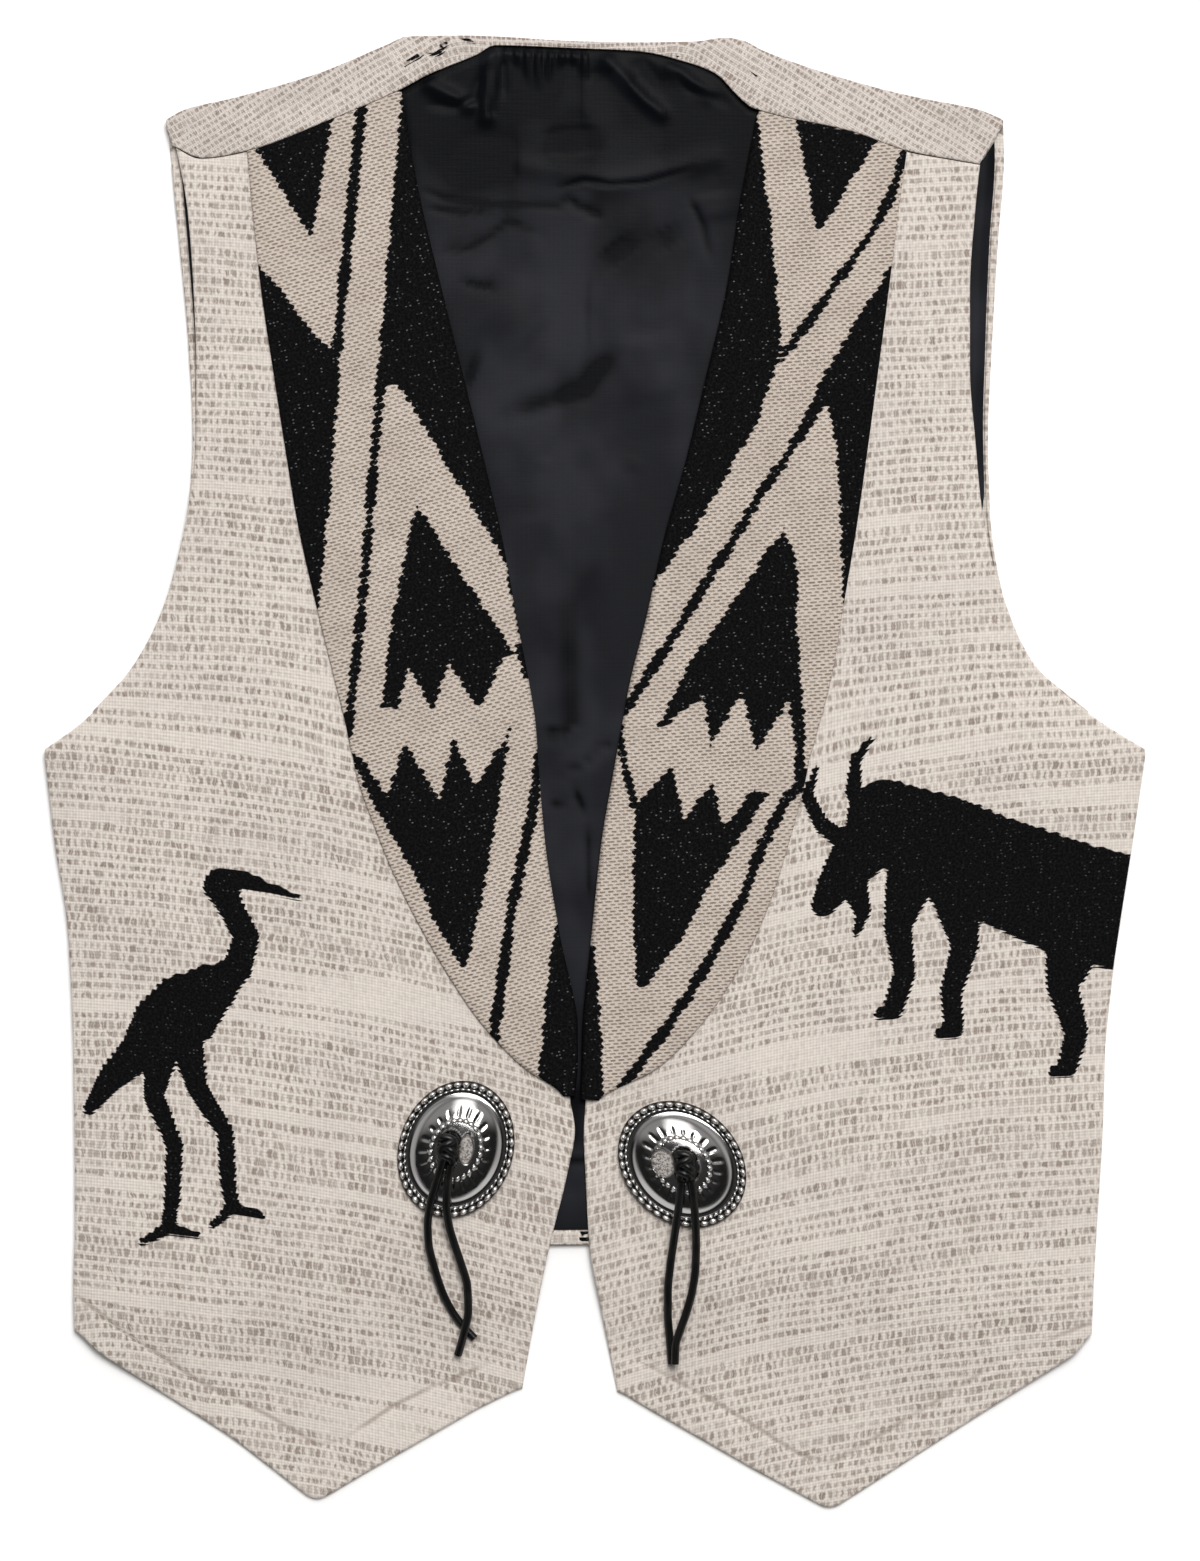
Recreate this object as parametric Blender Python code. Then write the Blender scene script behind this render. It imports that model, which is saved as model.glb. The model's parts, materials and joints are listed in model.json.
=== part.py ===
"""Sleeveless vest with shawl lapels, laid flat on its back with its front up.

Tables and sizes are in millimetres. X runs across the vest, Y up to its neck, and Z up from the
surface that it lies on. Left and right are as seen from above. Every panel is a closed wall of
cloth, worked out from sections, and each layer lies on the one below it.
"""
import math
from collections import namedtuple

import bmesh
import bpy
import numpy as np
from mathutils import Matrix, Vector

MM = 0.001

# Cloth walls and the clearance between pieces
SEAM_GAP = 0.3
BACK_WALL = 1.8
LINING_WALL = 1.0
FRONT_WALL = 2.2
LAPEL_WALL = 2.0
LINING_UNDER = BACK_WALL + SEAM_GAP
LINING_TOP = LINING_UNDER + LINING_WALL
FRONT_REST = LINING_TOP + SEAM_GAP
SIDE_REST = BACK_WALL + SEAM_GAP

# Fullness of the fronts, and where their sides come down onto the back
FRONT_FULLNESS = 2.4
SIDE_ROUNDING = 12.0
HEM_DROP_START = 12.0
HEM_DROP_END = 32.0

# Lapels: their columns as shares of the width, their thinner free edge, how far they spring off the
# front, and the roll past the front's inner edge
LAPEL_COLUMNS = (0.0, 0.12, 0.36, 0.60, 0.82, 1.0)
LAPEL_EDGE_WALL = 1.4
LAPEL_SPRING = 0.9
ROLL_WIDTH = 2.3
ROLL_CLEARANCE = 0.6
ROLL_SHOULDER_FALL = 0.5
ROLL_EDGE_FALL = 2.0

# Facings of the armholes and of the hem
EDGE_TURN = 0.2
HEM_FACING_WIDTH = 6.5
HEM_FACING_LEFT_X = -205.0
HEM_FACING_RIGHT_X = 198.0
FACING_TOP_WIDTH = 3.3
FACING_LOW_WIDTH = 1.3
FACING_TOP_Y = 262.0
FACING_LOW_Y = 26.0
FACING_TAPER_Y = 120.0

# Lining: how far it tucks under the neck edge, where its sides leave the armholes for its side
# seams, its rows and columns, and its gathers
LINING_TUCK = 1.4
LINING_ARMHOLE_INSET = 0.8
LINING_SIDE_INSET = 17.0
LINING_ARMHOLE_Y = 125.0
LINING_SIDE_Y = 60.0
LINING_ROWS_BELOW_NECK = (0.0, 1.9, 5.0, 9.5, 14.0, 20.0, 28.0, 40.0, 58.0, 84.0, 112.0, 140.0,
                          172.0, 208.0)
LINING_ROWS_Y = (22.0, 5.0, -40.0, -110.0, -160.0)
LINING_LEFT_COLUMNS = (-178.0, -150.0, -125.0, -100.0, -82.0, -72.0, -62.0, -53.0, -48.0, -44.5)
LINING_RIGHT_COLUMNS = (4.0, 10.0, 16.0, 22.0, 28.0, 34.0, 41.0, 49.0, 58.0, 68.0, 90.0, 115.0,
                        142.0, 172.0)
LINING_NECK_LEFT_X = -82.0
LINING_NECK_RIGHT_X = 68.0
GATHERS = 8
GATHER_LEFT_X = -39.0
GATHER_RIGHT_X = -2.0
GATHER_HEIGHT = 1.9
GATHER_START = 0.6
GATHER_RUN = 3.0
GATHER_LENGTH = 17.0

# Back: its columns, where its rows begin to follow the shoulders and the hem, and the turns of the
# fold and the shares of the carried-over strip at which it has a row
BACK_COLUMNS = 34
BACK_TOP_ROW = 0.45
SHOULDER_SHAPE_Y = 120.0
HEM_SHAPE_RUN = 90.0
FOLD_TURNS = (-90.0, -45.0, 0.0, 45.0, 90.0)
STRIP_ROWS = (0.34, 0.67, 1.0)

# Back hem: a shallow arch, lowest at the side seams
BACK_HEM_CENTRE_Y = -203.5
BACK_HEM_SIDE_Y = -226.0
BACK_HEM_HALF = 224.0

# Conchos and leather
CONCHO_LONG = 60.0
CONCHO_SHORT = 49.0
CONCHO_SEGMENTS = 28
KNOT_LENGTH = 13.0
KNOT_WIDTH = 8.5
KNOT_HEIGHT = 5.0
LACE_DIAMETER = 3.5
LACE_POINT_SPACING = 8.0

Section = namedtuple("Section", "outer_x outer_y inner_x inner_y lapel_x rows")
Edge = namedtuple("Edge", "left_x right_x y")
Shoulder = namedtuple("Shoulder", "fold_x fold_y edge_x edge_y fold_height edge_height")
Fold = namedtuple("Fold", "x y end_x end_y width height")
Concho = namedtuple("Concho", "x y turn base knot_x knot_y")

# Sections of each front from its shoulder seam to its hem: armhole or side edge, inner edge, the
# outer edge of the lapel on that section, and the rows of wall made down to the next section
FRONT_SECTIONS = {
    "left": [
        Section(-179.5, 265.0, -84.6, 292.6, -148.8, 2),
        Section(-174.6, 240.0, -77.9, 253.0, -146.4, 2),
        Section(-172.0, 207.5, -68.3, 211.8, -142.9, 2),
        Section(-170.9, 174.4, -57.9, 170.0, -137.6, 2),
        Section(-171.0, 142.0, -49.3, 135.0, -132.4, 1),
        Section(-174.6, 112.9, -41.2, 100.0, -127.2, 1),
        Section(-184.0, 74.2, -34.9, 65.0, -118.6, 1),
        Section(-196.5, 48.4, -30.0, 40.0, -112.2, 1),
        Section(-218.9, 22.6, -26.9, 20.0, -106.4, 1),
        Section(-236.5, 9.7, -25.9, 5.0, -103.2, 2),
        Section(-232.0, -29.0, -22.9, -30.0, -91.5, 2),
        Section(-226.2, -67.7, -16.9, -68.0, -73.5, 2),
        Section(-224.2, -108.0, -8.9, -108.0, -48.0, 1),
        Section(-223.7, -125.0, -8.8, -125.0, -31.5, 1),
        Section(-223.6, -139.0, -9.9, -139.0, -12.9, 1),
        Section(-223.4, -155.0, -7.8, -154.0, -7.8, 1),
        Section(-223.2, -175.0, -11.6, -175.0, -11.6, 1),
        Section(-223.2, -196.0, -18.6, -203.0, -18.6, 1),
        Section(-223.8, -219.0, -24.6, -232.0, -24.6, 1),
        Section(-223.4, -239.0, -30.5, -264.7, -30.5, 0),
    ],
    "right": [
        Section(166.6, 261.4, 73.0, 284.8, 135.0, 2),
        Section(164.4, 240.0, 66.0, 248.0, 131.5, 2),
        Section(162.3, 207.5, 59.6, 207.5, 127.2, 2),
        Section(162.3, 174.0, 50.8, 170.0, 122.6, 2),
        Section(164.6, 143.0, 42.4, 135.0, 118.2, 1),
        Section(167.9, 110.0, 32.6, 100.0, 113.4, 1),
        Section(177.2, 74.2, 24.8, 65.0, 107.4, 1),
        Section(188.8, 48.4, 18.4, 40.0, 103.2, 1),
        Section(217.6, 22.6, 14.6, 20.0, 97.4, 1),
        Section(238.2, 9.7, 11.9, 5.0, 93.2, 2),
        Section(232.6, -29.0, 5.9, -30.0, 84.4, 2),
        Section(226.6, -67.7, 1.8, -68.0, 71.2, 2),
        Section(220.9, -108.0, -2.2, -108.0, 46.8, 1),
        Section(220.4, -125.0, -2.8, -125.0, 29.4, 1),
        Section(220.0, -140.5, -3.2, -140.5, 2.6, 1),
        Section(219.4, -156.0, -4.0, -156.0, -4.0, 1),
        Section(218.2, -176.0, -3.1, -176.0, -3.1, 1),
        Section(216.8, -198.0, -1.6, -203.0, -1.6, 1),
        Section(215.6, -220.0, 3.8, -232.0, 3.8, 1),
        Section(214.8, -239.0, 10.5, -266.0, 10.5, 0),
    ],
}
PIT_SECTION = 9
LAPEL_END_SECTION = 14
HEM_SHAPE_SECTION = 12

# Points of each pointed hem from its side seam to the centre front
HEM_POINTS = {
    "left": [(-223.4, -239.0), (-214.0, -249.0), (-155.0, -287.0), (-119.5, -314.5),
             (-95.0, -300.0), (-49.5, -274.0), (-30.5, -264.7)],
    "right": [(214.8, -239.0), (210.6, -248.6), (150.5, -287.0), (102.3, -318.0),
              (69.0, -300.0), (23.0, -273.6), (10.5, -266.0)],
}
HEM_TIP_X = {"left": -119.5, "right": 102.3}

# Sides of the back panel: armholes from the shoulders down to the pits, then the side seams
BACK_EDGES = [
    Edge(-184.0, 176.7, 281.4),
    Edge(-181.9, 177.2, 265.0),
    Edge(-178.4, 174.6, 229.0),
    Edge(-174.4, 172.0, 185.0),
    Edge(-172.6, 170.3, 145.0),
    Edge(-174.6, 171.1, 112.9),
    Edge(-184.0, 177.2, 74.2),
    Edge(-196.5, 188.8, 48.4),
    Edge(-218.9, 217.6, 22.6),
    Edge(-236.5, 238.2, 9.7),
    Edge(-232.0, 232.6, -29.0),
    Edge(-226.2, 226.6, -67.7),
    Edge(-223.8, 220.3, -125.0),
    Edge(-223.2, 217.8, -180.0),
    Edge(-223.4, 215.2, -226.0),
]
BACK_PIT_ROW = 9

# The back carried over the shoulders and the neck: the fold, which is the vest's upper outline, the
# edge that lies on top of it, and the height of the cloth's upper face at both
SHOULDERS = [
    Shoulder(-184.0, 281.4, -181.0, 270.0, 4.6, 5.4),
    Shoulder(-175.9, 285.7, -169.0, 264.6, 5.0, 5.8),
    Shoulder(-154.0, 290.9, -148.8, 267.7, 5.4, 6.4),
    Shoulder(-118.7, 301.2, -111.8, 281.4, 5.8, 7.4),
    Shoulder(-88.6, 313.7, -82.1, 294.3, 5.6, 7.2),
    Shoulder(-80.0, 317.2, -71.5, 300.2, 5.4, 6.2),
    Shoulder(-55.0, 317.6, -50.3, 309.0, 5.2, 5.2),
    Shoulder(-42.0, 317.0, -41.7, 312.4, 5.2, 5.2),
    Shoulder(-5.6, 314.5, -5.6, 310.8, 5.2, 5.2),
    Shoulder(18.9, 314.1, 18.9, 310.2, 5.2, 5.2),
    Shoulder(43.4, 315.0, 40.0, 306.0, 5.2, 5.2),
    Shoulder(57.2, 316.7, 53.0, 300.8, 5.4, 5.8),
    Shoulder(66.0, 315.0, 61.0, 292.6, 5.6, 6.8),
    Shoulder(72.0, 311.6, 68.0, 286.3, 5.6, 7.2),
    Shoulder(118.3, 296.1, 112.0, 275.6, 5.8, 7.4),
    Shoulder(139.8, 290.9, 135.0, 267.7, 5.4, 6.4),
    Shoulder(166.0, 285.7, 156.0, 263.8, 5.0, 5.8),
    Shoulder(176.7, 281.4, 166.4, 262.0, 4.6, 5.4),
]

# The largest folds of the lining where it shows
LINING_FOLDS = [
    Fold(-44.3, 309.0, -45.5, 282.0, 6.0, 2.4),
    Fold(-70.0, 296.0, -53.0, 287.0, 6.0, 1.6),
    Fold(6.5, 306.0, 28.8, 284.0, 6.5, 2.0),
    Fold(33.5, 303.0, 50.0, 292.0, 6.0, 1.6),
    Fold(-40.0, 263.0, 10.0, 254.0, 9.0, 1.2),
    Fold(3.0, 251.8, 52.0, 264.5, 9.0, 1.4),
    Fold(-16.0, 14.0, -1.0, 27.0, 8.0, 1.4),
]

# A concho's section from its rim to its middle: share of its radius, and height over its base
CONCHO_PROFILE = [(1.0, 0.0), (1.0, 1.1), (0.965, 2.2), (0.90, 2.3), (0.82, 1.7),
                  (0.74, 2.9), (0.58, 4.9), (0.36, 6.3), (0.16, 6.9)]
CONCHO_TOP = 7.0
CONCHOS = {
    "left": Concho(-58.9, -161.9, -20.0, 8.2, -62.4, -161.4),
    "right": Concho(38.3, -168.3, 47.0, 8.2, 39.2, -168.6),
}

# Routes of the free lace ends, from the knot over the concho and down onto the front
LACES = {
    "lace_left_outer": [(-64.6, -167.2, 17.5), (-67.6, -177.0, 15.9), (-70.1, -186.5, 14.2),
                        (-71.0, -194.5, 12.1), (-70.6, -202.5, 10.5), (-68.4, -212.0, 10.1),
                        (-65.0, -223.0, 9.1), (-60.6, -232.6, 8.4), (-55.2, -240.2, 9.0),
                        (-50.3, -244.6, 6.4)],
    "lace_left_inner": [(-60.4, -168.0, 17.6), (-60.6, -178.0, 15.9), (-60.9, -186.0, 14.2),
                        (-60.9, -193.5, 12.2), (-58.9, -202.0, 10.5), (-56.4, -211.0, 9.9),
                        (-53.6, -221.0, 8.6), (-53.4, -231.5, 6.6), (-55.4, -242.0, 4.8),
                        (-57.8, -250.0, 4.4)],
    "lace_right_outer": [(42.0, -175.0, 17.4), (43.2, -184.0, 15.9), (44.0, -193.0, 14.2),
                         (44.3, -203.0, 11.2), (44.1, -212.0, 10.0), (42.8, -222.0, 9.2),
                         (40.4, -233.0, 7.0), (37.9, -243.0, 5.0), (36.6, -254.0, 4.4)],
    "lace_right_inner": [(37.9, -175.4, 17.4), (37.0, -184.0, 15.9), (35.8, -193.0, 14.1),
                         (34.4, -203.0, 11.0), (33.1, -212.5, 9.8), (32.2, -223.0, 8.8),
                         (32.4, -233.0, 6.7), (32.6, -243.0, 4.9), (32.4, -254.0, 4.4)],
}

# Colour, roughness and metallic value of each material
FINISHES = {
    "natural_cloth": ((0.72, 0.65, 0.58), 0.92, 0.0),
    "lapel_cloth": ((0.10, 0.09, 0.085), 0.90, 0.0),
    "lining_satin": ((0.020, 0.020, 0.024), 0.42, 0.0),
    "silver": ((0.62, 0.61, 0.60), 0.28, 1.0),
    "leather": ((0.012, 0.012, 0.012), 0.50, 0.0),
}


def material(name):
    """The material of that finish, made the first time it is asked for."""
    if name in bpy.data.materials:
        return bpy.data.materials[name]
    colour, roughness, metallic = FINISHES[name]
    made = bpy.data.materials.new(name)
    made.use_nodes = True
    shader = made.node_tree.nodes["Principled BSDF"]
    shader.inputs["Base Color"].default_value = (*colour, 1.0)
    shader.inputs["Roughness"].default_value = roughness
    shader.inputs["Metallic"].default_value = metallic
    return made


def add_object(name, form, finish, sharp=50.0):
    """Puts a finished bmesh into the scene as one named, smooth-shaded object."""
    bmesh.ops.recalc_face_normals(form, faces=form.faces[:])
    if form.calc_volume(signed=True) < 0:
        bmesh.ops.reverse_faces(form, faces=form.faces[:])
    mesh = bpy.data.meshes.new(name)
    form.to_mesh(mesh)
    form.free()
    mesh.shade_smooth()
    mesh.set_sharp_from_angle(angle=math.radians(sharp))
    mesh.materials.append(material(finish))
    made = bpy.data.objects.new(name, mesh)
    bpy.context.scene.collection.objects.link(made)
    return made


def smooth(knots, values, at):
    """A curve through the values at the knots that never swings past them."""
    knots = np.asarray(knots, float)
    values = np.asarray(values, float)
    at = np.asarray(at, float)
    step = np.diff(knots)
    slope = np.diff(values) / step
    lean = np.zeros_like(values)
    both = slope[:-1] + slope[1:]
    level = slope[:-1] * slope[1:] <= 0
    lean[1:-1] = np.where(level, 0.0, 2 * slope[:-1] * slope[1:] / np.where(level, 1.0, both))
    lean[0] = slope[0]
    lean[-1] = slope[-1]
    i = np.clip(np.searchsorted(knots, at, side="right") - 1, 0, len(step) - 1)
    t = np.clip((at - knots[i]) / step[i], 0.0, 1.0)
    start = (1 + 2 * t) * (1 - t) ** 2 * values[i] + t * (1 - t) ** 2 * lean[i] * step[i]
    end = t * t * (3 - 2 * t) * values[i + 1] - t * t * (1 - t) * lean[i + 1] * step[i]
    return start + end


def smooth_to_corner(values, at, corner):
    """A curve through values at 0, 1, 2 and so on, which turns sharply at the corner."""
    upper = smooth(np.arange(corner + 1), values[:corner + 1], np.minimum(at, corner))
    lower = smooth(np.arange(corner, len(values)), values[corner:], np.maximum(at, corner))
    return np.where(np.asarray(at) <= corner, upper, lower)


def ease(t):
    """0 below 0, 1 above 1, and a smooth step between."""
    t = np.clip(t, 0.0, 1.0)
    return t * t * (3 - 2 * t)


def wall(name, under, over, finish):
    """A closed wall of cloth between two grids of points: under and over, (rows, columns, 3)."""
    rows, columns = under.shape[:2]
    form = bmesh.new()
    bmesh.ops.create_grid(form, x_segments=columns - 1, y_segments=rows - 1, size=1.0)
    order = form.verts.layers.int.new("order")
    for vert in form.verts:
        vert[order] = vert.index
    grown = bmesh.ops.extrude_face_region(form, geom=form.faces[:])
    upper = {item for item in grown["geom"] if isinstance(item, bmesh.types.BMVert)}
    for vert in form.verts:
        row, column = divmod(vert[order], columns)
        grid = over if vert in upper else under
        vert.co = Vector(grid[row, column]) * MM
    return add_object(name, form, finish)


def stacked(x, y, z):
    """One grid of points from its coordinates."""
    return np.stack(np.broadcast_arrays(x, y, z), axis=-1)


def seam_y(x):
    """Height in plan of the shoulder seams and the neck edge, where the carried-over back ends."""
    return smooth([s.edge_x for s in SHOULDERS], [s.edge_y for s in SHOULDERS], x)


def back_hem_y(x):
    """Height in plan of the back's arched hem."""
    share = np.minimum(np.abs(x) / BACK_HEM_HALF, 1.0)
    return BACK_HEM_CENTRE_Y + (BACK_HEM_SIDE_Y - BACK_HEM_CENTRE_Y) * share ** 2


def front_plan(side, across, down):
    """Plan of a front: across is 0 at its outer edge and 1 at its inner one, down counts sections."""
    sections = FRONT_SECTIONS[side]
    column = {field: np.array([getattr(s, field) for s in sections]) for field in Section._fields}
    edge = {field: smooth_to_corner(column[field], down, PIT_SECTION) for field in Section._fields}
    x = edge["outer_x"] + across * (edge["inner_x"] - edge["outer_x"])
    y = edge["outer_y"] + across * (edge["inner_y"] - edge["outer_y"])
    first, last = sections[0], sections[-1]
    top_x = first.outer_x + across * (first.inner_x - first.outer_x)
    top_y = first.outer_y + across * (first.inner_y - first.outer_y)
    y = y + (seam_y(top_x) - SEAM_GAP - top_y) * (1 - ease(down / 2.0))
    hem = sorted(HEM_POINTS[side])
    low_x = last.outer_x + across * (last.inner_x - last.outer_x)
    low_y = last.outer_y + across * (last.inner_y - last.outer_y)
    shape = np.interp(low_x, [p[0] for p in hem], [p[1] for p in hem]) - low_y
    reach = np.clip((down - HEM_SHAPE_SECTION) / (len(sections) - 1 - HEM_SHAPE_SECTION), 0, 1)
    return x, y + shape * reach ** 1.6


def front_under(side, across, down):
    """Height of a front's lower face: on the lining, on the back at its sides, flat past the hem."""
    x, y = front_plan(side, across, down)
    outer_x, _ = front_plan(side, 0.0 * across, down)
    inward = np.abs(x - outer_x)
    at_side = ease((down - PIT_SECTION + 0.6) / 1.2) * (1 - ease(inward / SIDE_ROUNDING))
    rest = FRONT_REST - (FRONT_REST - SIDE_REST) * at_side
    past_hem = ease((back_hem_y(x) - y - HEM_DROP_START) / (HEM_DROP_END - HEM_DROP_START))
    fullness = (1 - np.abs(2 * across - 1) ** 3) * ease(down / 4.0)
    return (rest + FRONT_FULLNESS * fullness) * (1 - past_hem)


def front_rows(side, end):
    """Places down a front, in sections, of the rows of its wall from the seam to that section."""
    rows = []
    for index, section in enumerate(FRONT_SECTIONS[side][:end]):
        rows += [index + step / section.rows for step in range(section.rows)]
    return np.array(rows + [end], float)[:, None]


def front_columns(side):
    """Places across a front of its wall's columns, one of them through the hem's point."""
    first, last = FRONT_SECTIONS[side][-1].outer_x, FRONT_SECTIONS[side][-1].inner_x
    tip = (HEM_TIP_X[side] - first) / (last - first)
    outer = np.linspace(0.0, tip, 8)
    inner = np.linspace(tip, 1.0, 7)[1:]
    return np.concatenate([outer, inner])[None, :]


def make_front(side):
    """A front panel, full in its middle and flat on the surface past the back's hem."""
    down = front_rows(side, len(FRONT_SECTIONS[side]) - 1)
    across = front_columns(side)
    x, y = front_plan(side, across, down)
    z = front_under(side, across, down)
    wall("front_" + side, stacked(x, y, z), stacked(x, y, z + FRONT_WALL), "natural_cloth")


def make_lapel(side):
    """A shawl lapel on its front: made from the front's points, moved out, and rolled at the neck."""
    down = front_rows(side, LAPEL_END_SECTION)
    sections = FRONT_SECTIONS[side]
    free_x = smooth(np.arange(len(sections)), [s.lapel_x for s in sections], down)
    outer_x, _ = front_plan(side, np.zeros_like(down), down)
    inner_x, _ = front_plan(side, np.ones_like(down), down)
    first = (free_x - outer_x) / (inner_x - outer_x)
    share = np.array(LAPEL_COLUMNS)[None, :]
    across = first + (1 - first) * share
    x, y = front_plan(side, across, down)
    under = front_under(side, across, down) + FRONT_WALL + SEAM_GAP
    under = under + LAPEL_SPRING * ease(share * 1.4) * ease(down / 3.0)
    over = under + LAPEL_EDGE_WALL + (LAPEL_WALL - LAPEL_EDGE_WALL) * ease(share / share[0, 1])
    toward_neck = 1.0 if side == "left" else -1.0
    edge_x, edge_y, edge_under, edge_over = (grid[:, -1:] for grid in (x, y, under, over))
    x = np.hstack([x, edge_x + toward_neck * ROLL_WIDTH / 2, edge_x + toward_neck * ROLL_WIDTH])
    y = np.hstack([y, edge_y, edge_y])
    low = np.full_like(edge_under, FRONT_REST + ROLL_CLEARANCE)
    under = np.hstack([under, edge_under - ROLL_SHOULDER_FALL, low])
    over = np.hstack([over, edge_over - ROLL_SHOULDER_FALL, edge_over - ROLL_EDGE_FALL])
    wall("lapel_" + side, stacked(x, y, under), stacked(x, y, over), "lapel_cloth")


def make_back():
    """The back panel, flat below, folded over the shoulders and the neck onto its own top."""
    fold_x = np.linspace(SHOULDERS[0].fold_x, SHOULDERS[-1].fold_x, BACK_COLUMNS)[None, :]
    across = (fold_x - fold_x[0, 0]) / (fold_x[0, -1] - fold_x[0, 0])
    column = {field: smooth([s.fold_x for s in SHOULDERS],
                            [getattr(s, field) for s in SHOULDERS], fold_x)
              for field in Shoulder._fields}
    rows = np.append(np.arange(len(BACK_EDGES) - 1, 0, -1), BACK_TOP_ROW)[:, None]
    edge = {field: smooth_to_corner([getattr(e, field) for e in BACK_EDGES], rows, BACK_PIT_ROW)
            for field in Edge._fields}
    x = edge["left_x"] + across * (edge["right_x"] - edge["left_x"])
    y = edge["y"] + np.zeros_like(x)
    top = BACK_EDGES[0].y
    shoulder_share = ease((y - SHOULDER_SHAPE_Y) / (top - SHOULDER_SHAPE_Y))
    hem_share = 1 - ease((y - BACK_HEM_SIDE_Y) / HEM_SHAPE_RUN)
    y = y + (column["fold_y"] - top) * shoulder_share + (back_hem_y(x) - BACK_HEM_SIDE_Y) * hem_share
    under = [stacked(x, y, 0.0)]
    over = [stacked(x, y, BACK_WALL)]
    radius = column["fold_height"] / 2
    for turn in np.radians(FOLD_TURNS):
        for grid, reach in ((under, radius), (over, radius - BACK_WALL)):
            bend_y = column["fold_y"] - radius + reach * math.cos(turn)
            grid.append(stacked(fold_x, bend_y, radius + reach * math.sin(turn)))
    start_y = column["fold_y"] - radius
    for share in STRIP_ROWS:
        strip_x = fold_x + (column["edge_x"] - fold_x) * share
        strip_y = start_y + (column["edge_y"] - start_y) * share
        rise = (column["edge_height"] - column["fold_height"]) * share
        height = column["fold_height"] + rise
        under.append(stacked(strip_x, strip_y, height))
        over.append(stacked(strip_x, strip_y, height - BACK_WALL))
    wall("back", np.vstack(under), np.vstack(over), "natural_cloth")


def back_edge(side, y):
    """X of the back's edge on that side at a height in plan."""
    edges = BACK_EDGES[::-1]
    column = "left_x" if side == "left" else "right_x"
    pit = len(edges) - 1 - BACK_PIT_ROW
    heights = [e.y for e in edges]
    places = np.interp(y, heights, np.arange(len(edges)))
    return smooth_to_corner([getattr(e, column) for e in edges], places, pit)


def facing_width(y):
    """Width of an armhole facing, widest at the shoulder."""
    share = ease((y - FACING_TAPER_Y) / (FACING_TOP_Y - FACING_TAPER_Y))
    return FACING_LOW_WIDTH + (FACING_TOP_WIDTH - FACING_LOW_WIDTH) * share


def make_armhole_facing(side):
    """A narrow strip along the inside of the back's armhole."""
    inward = 1.0 if side == "left" else -1.0
    y = np.linspace(FACING_TOP_Y, FACING_LOW_Y, 22)[:, None]
    edge = back_edge(side, y) + inward * EDGE_TURN
    x = np.hstack([edge, edge + inward * facing_width(y)])
    name = "armhole_facing_" + side
    wall(name, stacked(x, y, LINING_UNDER), stacked(x, y, LINING_TOP), "natural_cloth")


def make_hem_facing():
    """A narrow strip along the inside of the back's hem."""
    x = np.linspace(HEM_FACING_LEFT_X, HEM_FACING_RIGHT_X, 25)[None, :]
    y = np.vstack([back_hem_y(x) + EDGE_TURN, back_hem_y(x) + HEM_FACING_WIDTH])
    wall("hem_facing", stacked(x, y, LINING_UNDER), stacked(x, y, LINING_TOP), "natural_cloth")


def fold_height(x, y):
    """How far the lining stands up at a place, from its gathers and its largest folds."""
    raised = np.zeros(np.broadcast(x, y).shape)
    for fold in LINING_FOLDS:
        start = np.array([fold.x, fold.y])
        along = np.array([fold.end_x, fold.end_y]) - start
        share = ((x - start[0]) * along[0] + (y - start[1]) * along[1]) / (along @ along)
        share = np.clip(share, 0.0, 1.0)
        away = np.hypot(x - start[0] - share * along[0], y - start[1] - share * along[1])
        ridge = fold.height * np.exp(-(away / (0.5 * fold.width)) ** 2)
        raised = np.maximum(raised, ridge * (0.45 + 0.55 * np.sin(math.pi * (0.15 + 0.7 * share))))
    pitch = (GATHER_RIGHT_X - GATHER_LEFT_X) / GATHERS
    wave = 0.5 - 0.5 * np.cos(2 * math.pi * (x - GATHER_LEFT_X) / pitch)
    wave = wave * ((x > GATHER_LEFT_X) & (x < GATHER_RIGHT_X))
    below_neck = seam_y(x) - y
    start = ease((below_neck - GATHER_START) / GATHER_RUN)
    run = 1 - ease((below_neck - GATHER_START - GATHER_RUN) / GATHER_LENGTH)
    return start * np.maximum(raised, GATHER_HEIGHT * wave * run)


def make_lining():
    """The back's lining: flat under the fronts, gathered at the neck and folded between the lapels."""
    gathered = np.linspace(GATHER_LEFT_X, GATHER_RIGHT_X, 2 * GATHERS + 1)
    top_x = np.concatenate([LINING_LEFT_COLUMNS, gathered, LINING_RIGHT_COLUMNS])[None, :]
    rows = [seam_y(top_x) + LINING_TUCK - drop for drop in LINING_ROWS_BELOW_NECK]
    rows += [np.full_like(top_x, level) for level in LINING_ROWS_Y]
    rows += [back_hem_y(top_x) + HEM_FACING_WIDTH + SEAM_GAP]
    y = np.vstack(rows)
    low = ease((LINING_ARMHOLE_Y - y) / (LINING_ARMHOLE_Y - LINING_SIDE_Y))
    inset = (facing_width(y) + LINING_ARMHOLE_INSET) * (1 - low) + LINING_SIDE_INSET * low
    left_move = back_edge("left", y) + inset - top_x[0, 0]
    right_move = back_edge("right", y) - inset - top_x[0, -1]
    from_left = (top_x - LINING_NECK_LEFT_X) / (top_x[0, 0] - LINING_NECK_LEFT_X)
    from_right = (top_x - LINING_NECK_RIGHT_X) / (top_x[0, -1] - LINING_NECK_RIGHT_X)
    x = top_x + np.clip(from_left, 0, 1) * left_move + np.clip(from_right, 0, 1) * right_move
    z = LINING_UNDER + fold_height(x, y)
    wall("back_lining", stacked(x, y, z), stacked(x, y, z + LINING_WALL), "lining_satin")


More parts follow.
